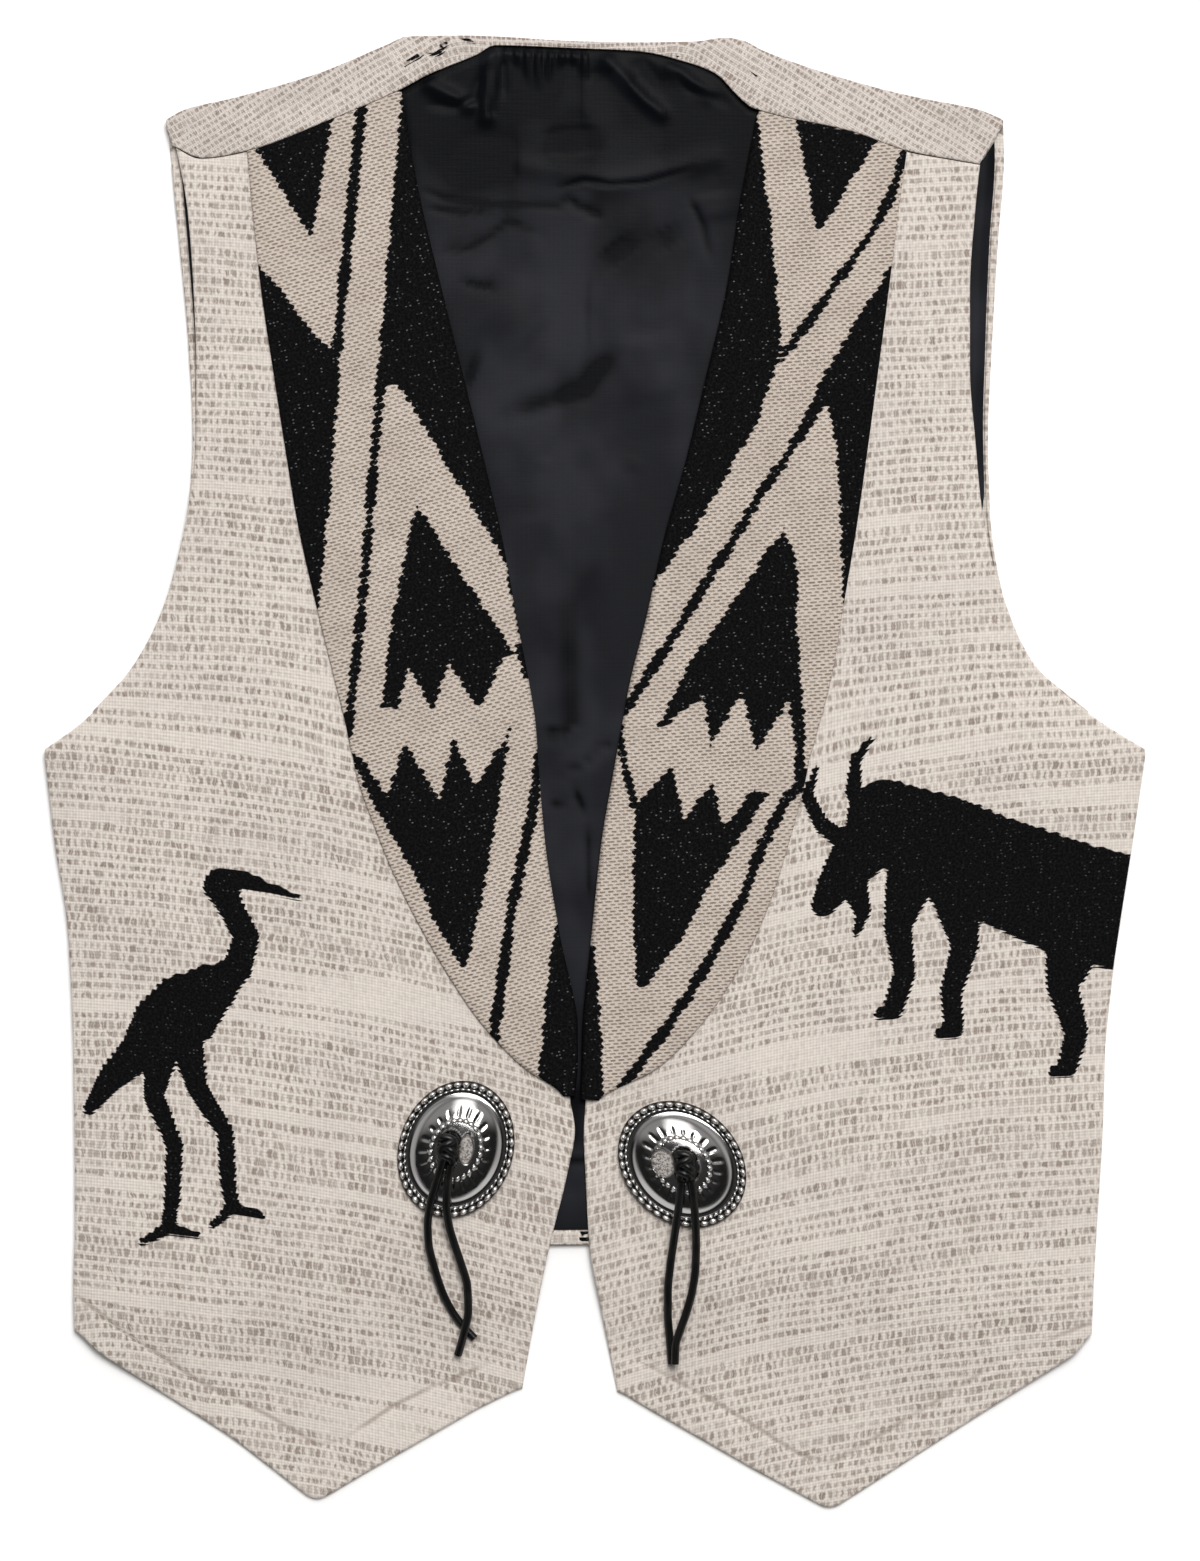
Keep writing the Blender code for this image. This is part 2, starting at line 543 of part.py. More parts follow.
def make_concho(side):
    """An oval ornament: a rim, a dished ring and a dome, turned as it lies on the front."""
    concho = CONCHOS[side]
    form = bmesh.new()
    rings = []
    for share, height in CONCHO_PROFILE:
        ring = bmesh.ops.create_circle(form, segments=CONCHO_SEGMENTS, radius=share)
        for vert in ring["verts"]:
            vert.co.z = height
        rings.append({edge for vert in ring["verts"] for edge in vert.link_edges})
    for lower, upper in zip(rings, rings[1:]):
        bmesh.ops.bridge_loops(form, edges=list(lower | upper))
    bmesh.ops.contextual_create(form, geom=list(rings[0]))
    peak = bmesh.ops.contextual_create(form, geom=list(rings[-1]))["faces"]
    middle = bmesh.ops.poke(form, faces=peak)["verts"]
    for vert in middle:
        vert.co.z = CONCHO_TOP
    size = Matrix.Diagonal((CONCHO_SHORT / 2, CONCHO_LONG / 2, 1.0, 1.0))
    turned = Matrix.Rotation(math.radians(concho.turn), 4, "Z")
    placed = Matrix.Translation((concho.x, concho.y, concho.base))
    form.transform(Matrix.Scale(MM, 4) @ placed @ turned @ size)
    add_object("concho_" + side, form, "silver", sharp=38.0)


def make_knot(side):
    """The lace tied over the middle of a concho."""
    concho = CONCHOS[side]
    form = bmesh.new()
    bmesh.ops.create_uvsphere(form, u_segments=12, v_segments=7, radius=0.5)
    size = Matrix.Diagonal((KNOT_WIDTH, KNOT_LENGTH, KNOT_HEIGHT, 1.0))
    height = concho.base + CONCHO_TOP + SEAM_GAP + KNOT_HEIGHT / 2
    placed = Matrix.Translation((concho.knot_x, concho.knot_y, height))
    form.transform(Matrix.Scale(MM, 4) @ placed @ size)
    add_object("knot_" + side, form, "leather")


def make_lace(name):
    """One free end of leather lace: a round tube along its route, with flat ends."""
    route = np.array(LACES[name])
    lengths = np.concatenate([[0.0], np.cumsum(np.linalg.norm(np.diff(route, axis=0), axis=1))])
    count = int(lengths[-1] / LACE_POINT_SPACING) + 2
    places = np.linspace(0.0, lengths[-1], count)
    points = np.stack([smooth(lengths, route[:, axis], places) for axis in range(3)], axis=1)
    curve = bpy.data.curves.new(name, "CURVE")
    curve.dimensions = "3D"
    curve.bevel_depth = LACE_DIAMETER / 2 * MM
    curve.bevel_resolution = 2
    curve.use_fill_caps = True
    spline = curve.splines.new("POLY")
    spline.points.add(count - 1)
    for point, place in zip(spline.points, points):
        point.co = (*(place * MM), 1.0)
    spline.use_smooth = True
    curve.materials.append(material("leather"))
    made = bpy.data.objects.new(name, curve)
    bpy.context.scene.collection.objects.link(made)


def main():
    """Clears the scene and makes the vest from the surface up."""
    for old in list(bpy.data.objects):
        bpy.data.objects.remove(old)
    make_back()
    make_lining()
    make_hem_facing()
    for side in ("left", "right"):
        make_armhole_facing(side)
        make_front(side)
        make_lapel(side)
        make_concho(side)
        make_knot(side)
    for name in LACES:
        make_lace(name)


main()
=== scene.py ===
"""Looks of the sleeveless vest with shawl lapels, which lies flat with its front up.

Tables are in millimetres, and finished meshes in metres. X runs across the vest, Y up to its neck, and
Z up from the surface that it lies on. Left and right are as seen from above.
"""
from __future__ import annotations

import json
import logging
import math
from dataclasses import dataclass, field
from enum import Enum
from typing import NamedTuple

import bmesh
import bpy
import numpy as np
from mathutils import Matrix, Vector

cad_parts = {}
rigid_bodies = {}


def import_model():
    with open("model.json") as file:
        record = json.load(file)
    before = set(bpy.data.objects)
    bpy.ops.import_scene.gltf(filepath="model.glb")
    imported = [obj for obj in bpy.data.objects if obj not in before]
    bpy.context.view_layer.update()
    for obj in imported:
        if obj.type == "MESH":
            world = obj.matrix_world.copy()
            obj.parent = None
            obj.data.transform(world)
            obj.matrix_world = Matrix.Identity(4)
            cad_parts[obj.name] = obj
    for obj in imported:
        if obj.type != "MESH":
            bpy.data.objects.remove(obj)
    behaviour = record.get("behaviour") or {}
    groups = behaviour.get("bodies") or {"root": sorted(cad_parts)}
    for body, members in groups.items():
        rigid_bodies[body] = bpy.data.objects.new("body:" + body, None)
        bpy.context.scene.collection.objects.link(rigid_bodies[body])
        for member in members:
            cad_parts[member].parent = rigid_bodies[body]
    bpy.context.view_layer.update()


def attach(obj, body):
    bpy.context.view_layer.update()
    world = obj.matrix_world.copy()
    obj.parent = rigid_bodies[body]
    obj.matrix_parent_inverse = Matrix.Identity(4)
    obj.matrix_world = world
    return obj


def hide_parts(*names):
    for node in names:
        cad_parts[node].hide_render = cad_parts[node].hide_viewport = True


for leftover in list(bpy.data.objects):
    bpy.data.objects.remove(leftover)
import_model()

MM = 0.001
TAU = 2 * math.pi
BODY = "root"

# One measure or an array of them
Places = float | np.ndarray

# How far from its edge a mark's distance is kept on the mesh
MARK_REACH = 6.0

# Cloth walls and how they lie on each other, as in the model
SEAM_GAP = 0.3
BACK_WALL = 1.8
LINING_WALL = 1.0
FRONT_WALL = 2.2
LAPEL_WALL = 2.0
LINING_UNDER = BACK_WALL + SEAM_GAP
LINING_TOP = LINING_UNDER + LINING_WALL
FRONT_REST = LINING_TOP + SEAM_GAP
SIDE_REST = BACK_WALL + SEAM_GAP

# Turned cloth edges: how wide the turn is, and how much of the wall is left at its lip
EDGE_TURN_WIDTH = 1.5
EDGE_LIP = 0.36
EDGE_OFFSETS = np.array([0.0, 0.22, 0.6, 1.1, 1.7, 2.6])

# Creases: the share of its length over which one dies out, and the height that is left at its ends
CREASE_FADE = 0.2
CREASE_END = 0.25

# Narrow strips: the share of the thickness that is left at their edges
STRIP_LIP = 0.45

# Lace tubes: the step between their points, and how finely they are rounded
LACE_STEP = 1.5
LACE_ROUNDNESS = 5


class Side(Enum):
    """A half of the vest, as seen from above."""

    LEFT = "left"
    RIGHT = "right"

    @property
    def toward_neck(self) -> float:
        """The sign of X from this half's armhole to the neck."""
        return 1.0 if self is Side.LEFT else -1.0


class Section(NamedTuple):
    """A line across a front, with the place of the lapel's free edge on it."""

    outer_x: float
    outer_y: float
    inner_x: float
    inner_y: float
    lapel_x: float


class Edge(NamedTuple):
    """Both edges of the back at one height."""

    left_x: float
    right_x: float
    y: float


class Shoulder(NamedTuple):
    """The fold of the back over a shoulder or the neck, and the edge that lies on top."""

    fold_x: float
    fold_y: float
    edge_x: float
    edge_y: float
    fold_height: float
    edge_height: float


class Fold(NamedTuple):
    """A straight soft ridge, or a trough where its height is negative."""

    x: float
    y: float
    end_x: float
    end_y: float
    width: float
    height: float


class Crease(NamedTuple):
    """A soft ridge or trough along several points."""

    width: float
    height: float
    points: list


class Ornament(NamedTuple):
    """Where a concho lies on its front, and the knot on it."""

    x: float
    y: float
    turn: float
    base: float
    knot_x: float
    knot_y: float


FRONT_SECTIONS = {
    Side.LEFT: [Section(*row) for row in (
        (-179.5, 265, -84.6, 292.6, -148.8),
        (-174.6, 240, -77.9, 253, -146.4),
        (-172, 207.5, -68.3, 211.8, -142.9),
        (-170.9, 174.4, -57.9, 170, -137.6),
        (-171, 142, -49.3, 135, -132.4),
        (-174.6, 112.9, -41.2, 100, -127.2),
        (-184, 74.2, -34.9, 65, -118.6),
        (-196.5, 48.4, -30, 40, -112.2),
        (-218.9, 22.6, -26.9, 20, -106.4),
        (-236.5, 9.7, -25.9, 5, -103.2),
        (-232, -29, -22.9, -30, -91.5),
        (-226.2, -67.7, -16.9, -68, -73.5),
        (-224.2, -108, -8.9, -108, -48),
        (-223.7, -125, -8.8, -125, -31.5),
        (-223.6, -139, -9.9, -139, -12.9),
        (-223.4, -155, -7.8, -154, -7.8),
        (-223.2, -175, -11.6, -175, -11.6),
        (-223.2, -196, -18.6, -203, -18.6),
        (-223.8, -219, -24.6, -232, -24.6),
        (-223.4, -239, -30.5, -264.7, -30.5),
    )],
    Side.RIGHT: [Section(*row) for row in (
        (166.6, 261.4, 73, 284.8, 135),
        (164.4, 240, 66, 248, 131.5),
        (162.3, 207.5, 59.6, 207.5, 127.2),
        (162.3, 174, 50.8, 170, 122.6),
        (164.6, 143, 42.4, 135, 118.2),
        (167.9, 110, 32.6, 100, 113.4),
        (177.2, 74.2, 24.8, 65, 107.4),
        (188.8, 48.4, 18.4, 40, 103.2),
        (217.6, 22.6, 14.6, 20, 97.4),
        (238.2, 9.7, 11.9, 5, 93.2),
        (232.6, -29, 5.9, -30, 84.4),
        (226.6, -67.7, 1.8, -68, 71.2),
        (220.9, -108, -2.2, -108, 46.8),
        (220.4, -125, -2.8, -125, 29.4),
        (220, -140.5, -3.2, -140.5, 2.6),
        (219.4, -156, -4, -156, -4),
        (218.2, -176, -3.1, -176, -3.1),
        (216.8, -198, -1.6, -203, -1.6),
        (215.6, -220, 3.8, -232, 3.8),
        (214.8, -239, 10.5, -266, 10.5),
    )],
}
PIT_SECTION = 9
LAPEL_END_SECTION = 14
HEM_SHAPE_SECTION = 12

HEM_POINTS = {
    Side.LEFT: [(-223.4, -239), (-214, -249), (-155, -287), (-119.5, -314.5),
                (-95, -300), (-49.5, -274), (-30.5, -264.7)],
    Side.RIGHT: [(10.5, -266), (23, -273.6), (69, -300), (102.3, -318),
                 (150.5, -287), (210.6, -248.6), (214.8, -239)],
}

# Places around each point of a hem over which its corners are softened
HEM_SOFTENING = (-4, -2.7, -1.3, 0, 1.3, 2.7, 4)

# Fullness of the fronts, and where their sides come down onto the back
FRONT_FULLNESS = 2.4
SIDE_ROUNDING = 12.0
HEM_DROP_START = 4.0
HEM_DROP_END = 64.0
FULLNESS_DROP_START = -40.0
FULLNESS_DROP_END = 50.0

# Back hem: a shallow arch, lowest at the side seams
BACK_HEM_CENTRE_Y = -203.5
BACK_HEM_SIDE_Y = -226.0
BACK_HEM_HALF = 224.0
HEM_SHAPE_RUN = 90.0
SHOULDER_SHAPE_Y = 120.0
BACK_PIT_ROW = 9

BACK_EDGES = [Edge(*row) for row in (
    (-184, 176.7, 281.4),
    (-181.9, 177.2, 265),
    (-178.4, 174.6, 229),
    (-174.4, 172, 185),
    (-172.6, 170.3, 145),
    (-174.6, 171.1, 112.9),
    (-184, 177.2, 74.2),
    (-196.5, 188.8, 48.4),
    (-218.9, 217.6, 22.6),
    (-236.5, 238.2, 9.7),
    (-232, 232.6, -29),
    (-226.2, 226.6, -67.7),
    (-223.8, 220.3, -125),
    (-223.2, 217.8, -180),
    (-223.4, 215.2, -226),
)]

SHOULDERS = [Shoulder(*row) for row in (
    (-184, 281.4, -181, 270, 4.6, 5.4),
    (-175.9, 285.7, -169, 264.6, 5, 5.8),
    (-154, 290.9, -148.8, 267.7, 5.4, 6.4),
    (-118.7, 301.2, -111.8, 281.4, 5.8, 7.4),
    (-88.6, 313.7, -82.1, 294.3, 5.6, 7.2),
    (-80, 317.2, -71.5, 300.2, 5.4, 6.2),
    (-55, 317.6, -50.3, 309, 5.2, 5.2),
    (-42, 317.2, -41.7, 313.2, 5.2, 5.2),
    (-5.6, 315.1, -5.6, 311.9, 5.2, 5.2),
    (18.9, 314.7, 18.9, 310.7, 5.2, 5.2),
    (43.4, 315, 40, 306, 5.2, 5.2),
    (57.2, 316.7, 53, 300.8, 5.4, 5.8),
    (66, 315, 61, 292.6, 5.6, 6.8),
    (72, 311.6, 68, 286.3, 5.6, 7.2),
    (118.3, 296.1, 112, 275.6, 5.8, 7.4),
    (139.8, 290.9, 135, 267.7, 5.4, 6.4),
    (166, 285.7, 156, 263.8, 5, 5.8),
    (176.7, 281.4, 166.4, 262, 4.6, 5.4),
)]

# Creases of the fronts: the line where the hem is turned, the facings that print through at the
# armholes, and the pulls and drags of worn cloth
FRONT_CREASES = {
    Side.LEFT: [
        Crease(1.8, -0.40, [(-222.7, -224.7), (-200.8, -241), (-169.4, -262.5), (-139.8, -277.1),
                            (-118.3, -289.6), (-107.1, -287), (-85.6, -272.4), (-69.2, -264.7),
                            (-44.3, -254.3), (-26, -248)]),
        Crease(2.6, 0.35, [(-169.5, 262), (-164.5, 225), (-161.5, 180), (-162, 135),
                           (-166.5, 105), (-177.6, 75.9), (-189.2, 35), (-203.8, 15.3),
                           (-233.5, -2.8)]),
        Crease(3.4, -0.40, [(-199.1, 18.3), (-203, -20), (-205.5, -54.8)]),
        Crease(5, 0.45, [(-150, 15), (-158, -40), (-149, -92)]),
        Crease(7, 0.50, [(-96, -62), (-112, -120), (-108, -196)]),
        Crease(6, -0.45, [(-62, -98), (-84, -150), (-92, -214)]),
        Crease(5, 0.40, [(-196, -150), (-176, -196), (-171, -240)]),
        Crease(4, -0.35, [(-30, -176), (-38, -214), (-36, -246)]),
    ],
    Side.RIGHT: [
        Crease(1.8, -0.40, [(6, -249), (24.5, -255.6), (57.2, -273.7), (88.6, -293.5),
                            (101.9, -297.8), (118.3, -288.7), (150.9, -269), (177.6, -251.8),
                            (212, -237.6)]),
        Crease(2.6, 0.38, [(147.9, 259.9), (149.2, 143), (156.1, 74.2), (168.6, 39.8),
                           (187.9, 22.6), (200.8, 11.8)]),
        Crease(3.6, -0.38, [(200, 4), (206, -30), (203, -58)]),
        Crease(6, 0.45, [(121, -10), (138, -60), (132, -118)]),
        Crease(6, -0.42, [(74, -96), (88, -150), (84, -220)]),
        Crease(7, 0.46, [(168, -90), (160, -150), (172, -206)]),
        Crease(4.5, -0.34, [(20, -150), (14, -196), (22, -240)]),
    ],
}
HEM_TURN_RISE = 0.35
HEM_TURN_RUN = 1.6

# Folds of the lining where it shows
LINING_FOLDS = [Fold(*row) for row in (
    (-44.3, 309, -45.5, 282, 6, 2.4),
    (-70, 296, -53, 287, 6, 1.6),
    (6.5, 306, 28.8, 284, 6.5, 2),
    (33.5, 303, 50, 292, 6, 1.6),
    (-40, 263, 10, 254, 9, 0.6),
    (3, 251.8, 52, 264.5, 9, 0.8),
    (-16, 14, -1, 27, 8, 1.4),
)]
# Wrinkles, hollows and swells of the lining; the troughs of the wrinkles and hollows also get painted
# shade
LINING_WRINKLES = [Crease(*row) for row in (
    (1.4, -0.8, [(-71.9, 250.6), (-64.2, 247.4), (-50, 246), (-37.8, 244.1),
                 (-25.8, 245.2), (-14.8, 244.6), (-10.4, 247.9)]),
    (1.5, -1, [(-10.4, 246.8), (-3.8, 243), (3.8, 240)]),
    (1.2, -0.7, [(-14.8, 252.3), (-3.8, 255), (7.1, 253.4), (22.5, 254.5), (43.3, 260.5)]),
    (1.4, -0.6, [(-70.8, 243), (-56.5, 241.5), (-44.4, 242.4)]),
    (1.6, -0.7, [(-65.3, 224.3), (-53.2, 226.5), (-43.3, 232.5), (-36.7, 238),
                 (-21.4, 232.5)]),
    (1.5, -0.8, [(-56.5, 211.7), (-47.7, 209.7), (-42.2, 209.3)]),
    (1.8, -1.1, [(-69.7, 287.9), (-58.7, 286.9), (-51, 290.7), (-47.2, 302.8)]),
    (1.5, -1.1, [(-44.2, 308.1), (-45, 290.7), (-43.3, 281.4)]),
    (1.4, -0.9, [(-38.7, 307), (-38.4, 291.8)]),
    (2.6, -0.9, [(16, 300), (21, 294), (26.9, 289)]),
    (3.4, -1, [(18.2, 308), (23.5, 300.7), (28.9, 294.1)]),
    (2, -0.8, [(33.6, 303), (42, 294.3), (57.3, 288.8)]),
    (0.9, 0.4, [(-3.8, 307), (-3.6, 293), (-3.8, 279.7)]),
    (1.6, -0.6, [(42.2, 246.8), (47.5, 236), (50.4, 222)]),
    (4, -1.1, [(10.4, 181), (1.6, 173.3), (-3.8, 165.6), (-21.4, 160.2),
                 (-36.7, 154.7)]),
    (1.2, -0.3, [(-1.6, 213.9), (-2.6, 198), (-2.2, 182.1)]),
    (0.9, 0.3, [(-28.2, 130.7), (-20, 133), (-11.7, 134.1)]),
    (0.9, 0.3, [(8.8, 135.5), (16, 134), (23.9, 130.7)]),
    (1.6, -0.9, [(-0.1, 43.6), (6.1, 39.5), (14.3, 35.3)]),
    (2.4, -1.1, [(-22.7, 16.8), (-13.1, 18.9), (-4.9, 25.1), (-1.9, 28.5)]),
    (1.4, -0.7, [(-0.8, 10.7), (8.8, 12)]),
    (1.3, -0.5, [(-15.9, -0.3), (-4.9, 3.8), (2, 9.3)]),
    (1.3, -0.8, [(-18.6, -14), (-10.4, -11.3)]),
    (1.4, -1, [(-7.6, -7.2), (-3.5, -16.8)]),
    (1.3, -0.7, [(-2.1, -23.6), (-1.5, -53.8)]),
    (1.3, -1, [(-22, -166.6), (8, -166.2)]),
)]
LINING_HOLLOWS = [Crease(*row) for row in (
    (9, -0.8, [(-10, 279), (-9, 265)]),
    (11, -0.8, [(-60, 262), (-30, 262)]),
    (3, -0.9, [(-0.6, 300.6), (0.6, 299.4)]),
    (9, -0.7, [(8, 229), (14, 221)]),
    (7, -0.8, [(-55, 173), (-50, 171)]),
    (7, -0.7, [(30, 236), (34, 226)]),
    (8, -0.5, [(-6, 108), (-2, 84)]),
    (5, -0.6, [(-18, 20), (-12, 14)]),
    (5, -1, [(-8.5, -132), (-8.2, -164)]),
)]
LINING_SWELLS = [Crease(*row) for row in (
    (12, 0.9, [(-44, 204), (-24, 186)]),
    (11, 0.9, [(20, 190), (26, 158)]),
    (9, 0.7, [(6, 92), (12, 58)]),
    (9, 0.7, [(52, 250), (54, 238)]),
    (10, 0.6, [(-30, 112), (-24, 84)]),
)]
GATHERS = 8
GATHER_LEFT_X = -39.0
GATHER_RIGHT_X = -2.0
GATHER_HEIGHT = 1.9
GATHER_START = 0.6
GATHER_RUN = 3.0
GATHER_LENGTH = 17.0
GATHER_DRIFT = 0.9
GATHER_DRIFT_RUN = 5.0

CONCHOS = {
    Side.LEFT: Ornament(-58.9, -161.9, -20, 8.2, -62.4, -161.4),
    Side.RIGHT: Ornament(38.3, -168.3, 47, 8.2, 39.2, -168.6),
}

# Routes of the free lace ends, from the knot over the concho and down onto the front
LACES = {
    "lace_left_outer": [(-64.6, -167.2, 17.5), (-67.6, -177, 15.9), (-70.1, -186.5, 14.2),
                        (-71, -194.5, 12.1), (-70.6, -202.5, 10.5), (-68.4, -212, 9.4),
                        (-65, -223, 7), (-60.6, -232, 5.2), (-55.4, -239, 4.6),
                        (-51, -243.6, 4.5)],
    "lace_left_inner": [(-61, -168, 17.6), (-62.4, -177, 15.9), (-62.9, -185.5, 14.2),
                        (-62, -193.5, 12.2), (-59.7, -202, 10.5), (-56.7, -211, 9.9),
                        (-54, -221, 9), (-53.6, -231.5, 8.5), (-55, -239, 8.3),
                        (-56.6, -245.4, 6.4), (-58.2, -250.6, 4.6)],
    "lace_right_outer": [(42, -175, 17.4), (43.2, -184, 15.9), (44, -193, 14.2),
                         (44.3, -203, 11.2), (44.1, -212, 10), (42.8, -222, 9.2),
                         (40.2, -232, 8.2), (37.4, -240, 8), (35.5, -246.5, 8),
                         (35.2, -254.4, 7.7)],
    "lace_right_inner": [(37.9, -175.4, 17.4), (37, -184, 15.9), (35.8, -193, 14.1),
                         (34.4, -203, 11), (33.1, -212.5, 9.8), (32.2, -223, 8.8),
                         (32.2, -233, 6.7), (33, -243, 4.9), (33.9, -254.6, 4.4)],
}

# Geometric inlay of the lapels: closed outlines, and lines with the half width of each
LAPEL_SHAPES = {
    Side.LEFT: [
        [(-146, 270), (-112, 282), (-121, 230)],
        [(-156, 223), (-144, 219), (-115, 183.5), (-108.5, 178), (-112, 130), (-116.5, 83),
         (-119, 66), (-140, 66), (-165, 150)],
        [(-82, 293), (-86, 246), (-90, 203), (-93, 167), (-84, 167), (-62, 131), (-38, 91),
         (-31, 57), (-15, 57), (-30, 200), (-60, 320), (-80, 320)],
        [(-76, 116), (-55, 83), (-33.5, 51), (-38.5, 49), (-49, 28), (-62, 46.5), (-69, 27.5),
         (-79, 44.5), (-84, 28), (-91, 28), (-87, 60), (-82, 88)],
        [(-34, 55), (-20, 60), (-20, 38), (-29.5, 41)],
        [(-105, 9), (-100, 7), (-88.5, -10), (-81, 13), (-66, -11), (-60, 15), (-50.5, -5.5),
         (-35.5, 19), (-39, -6), (-43, -27.5), (-47, -51), (-52, -75), (-55.5, -85), (-67, -67),
         (-74.5, -48), (-84, -31), (-94, -15)],
        [(-15.5, -64), (-18, -77), (-20.5, -98), (-23, -127), (-24, -152), (2, -152), (2, -64)],
    ],
    Side.RIGHT: [
        [(70.5, 284), (73.5, 257), (77.5, 230), (80, 194), (81, 181), (71, 152), (56, 125),
         (43.5, 104), (33, 91), (24, 77.5), (2, 70), (20, 200), (50, 320), (68, 320)],
        [(87.5, 281), (122.5, 273), (96.5, 231)],
        [(140, 222), (127, 216.5), (118, 202), (107, 184), (97, 167.5), (90.5, 151.5), (101, 158),
         (103, 151), (105.5, 127), (106.5, 102), (107.5, 82), (107.5, 64), (128, 64), (150, 150)],
        [(82.5, 105), (88, 87), (87.5, 62), (89, 43), (91.5, 16), (90.5, -4), (86.5, -4),
         (86.5, 12), (84, 31), (70, 8), (64, 35), (50.5, 11), (47.5, 33), (26.5, 17), (40.5, 45),
         (54, 65), (65.5, 80.5), (76, 97)],
        [(18, -14), (34, 3), (39, -20), (51.5, -4), (56, -24), (69, -7), (75, -9.5), (50.5, -48),
         (37, -73), (20.5, -94), (18.5, -88), (17, -55)],
        [(0.5, -74.5), (3, -101), (4.5, -136), (5, -152), (-14, -152), (-14, -74)],
    ],
}
LAPEL_LINES = {
    Side.LEFT: [
        (2.2, [(-98, 300), (-99.5, 287), (-105, 232), (-110.5, 178)]),
        (1.9, [(-91, 168), (-94.5, 130), (-97.5, 91), (-101, 55), (-105.5, 18), (-110, 0)]),
        (2.3, [(-23, 8), (-26, -16.5), (-30, -35), (-35.5, -61), (-38, -81), (-41.5, -105),
               (-44, -125)]),
    ],
    Side.RIGHT: [
        (1.9, [(139, 280), (135.5, 270), (128, 248), (121, 234), (105.5, 212), (93, 194),
               (81.5, 179)]),
        (2, [(94, 153), (82, 134), (72, 120), (61, 101), (49.5, 83.5), (39, 65.5), (29.5, 51),
               (22, 39), (13, 26)]),
        (1.8, [(10, 23), (14, 1), (18, -14)]),
        (2.3, [(91, 0), (90, -4), (82, -13), (71.5, -34), (65, -52.5), (54.5, -72.5), (42, -94),
               (28.5, -114), (12, -136)]),
    ],
}

# Animals worked in black on the fronts: strokes through points with the half width at each
ANIMALS = {
    Side.LEFT: [
        [(-199, -121, 6), (-187, -112, 15), (-174, -101, 16), (-164, -93, 11)],
        [(-166, -95, 9.5), (-153, -84, 6.5), (-149, -71, 5.5), (-155, -59, 5.5), (-161, -49, 6.5)],
        [(-160, -48, 7), (-151, -46, 4), (-138, -50, 2), (-126, -54, 0.9)],
        [(-194, -119, 9), (-207, -131, 6), (-217, -145, 2.5)],
        [(-185, -117, 8), (-189, -139, 4.4), (-180, -160, 3.6), (-181, -184, 3.4), (-183, -196, 3)],
        [(-183, -196, 3), (-170, -199, 1.5)],
        [(-183, -196, 3), (-194, -202, 1.5)],
        [(-176, -113, 8), (-170, -136, 4.4), (-158, -155, 3.6), (-157, -176, 3.4), (-155, -187, 3)],
        [(-155, -187, 3), (-142, -191, 1.5)],
        [(-155, -187, 3), (-164, -195, 1.5)],
    ],
    Side.RIGHT: [
        [(126, -20, 17), (146, -30, 22), (174, -42, 23), (204, -54, 25), (234, -62, 25)],
        [(124, -24, 14), (112, -38, 11), (103, -50, 7.5), (99, -57, 5)],
        [(108, -30, 4.5), (98, -22, 3.4), (92, -10, 2.6), (96, 2, 1.2)],
        [(118, -22, 4.5), (112, -8, 3.4), (113, 6, 2.4), (120, 15, 1.2)],
        [(112, -48, 6), (116, -60, 3.4), (113, -70, 1.2)],
        [(137, -44, 11), (131, -66, 6), (134, -86, 4.6), (129, -102, 4.4), (123, -104, 2.4)],
        [(155, -50, 11), (160, -74, 6), (154, -94, 4.6), (155, -110, 4.4), (149, -112, 2.4)],
        [(207, -72, 13), (202, -92, 7), (208, -112, 5), (204, -127, 4.4), (198, -129, 2.4)],
    ],
}

# Small black marks where the back's own pattern ends on the strip that is carried over
STRIP_MARKS = [
    [(-80.6, 303.9, 0.7), (-77.3, 307.4, 1.1), (-73, 308.2, 0.8)],
    [(-69.1, 309.3, 1), (-65.6, 310.4, 1.4), (-65, 312.4, 1.1), (-62.2, 314.4, 0.9)],
    [(-56.5, 315.6, 0.9), (-54.3, 315.4, 0.8)],
    [(-51.6, 314.6, 0.6), (-50.6, 314.6, 0.6)],
    [(36.7, 308.2, 0.6), (36.7, 306.6, 0.5)],
    [(68, 303.3, 0.6), (70.2, 300.2, 0.9), (71.9, 301.7, 0.6)],
]

# The black mark on the hem facing where it shows between the fronts
HEM_FACING_MARK = [
    [(-5, -201.5, 0.9), (-2.2, -201.5, 0.9)],
    [(-3.8, -198.4, 1.4), (-3.8, -201, 1.4)],
]

# Soft ridges of the strip that is carried over
STRIP_CREASES = [
    Crease(1.8, 0.7, [(-82, 296), (-81.2, 303.9), (-77.5, 309.5), (-72, 312.5)]),
    Crease(1.8, 0.8, [(59.8, 314), (63.5, 307.5), (67.5, 300.6)]),
    Crease(2.4, -0.5, [(-150, 284), (-118, 290), (-92, 303)]),
]


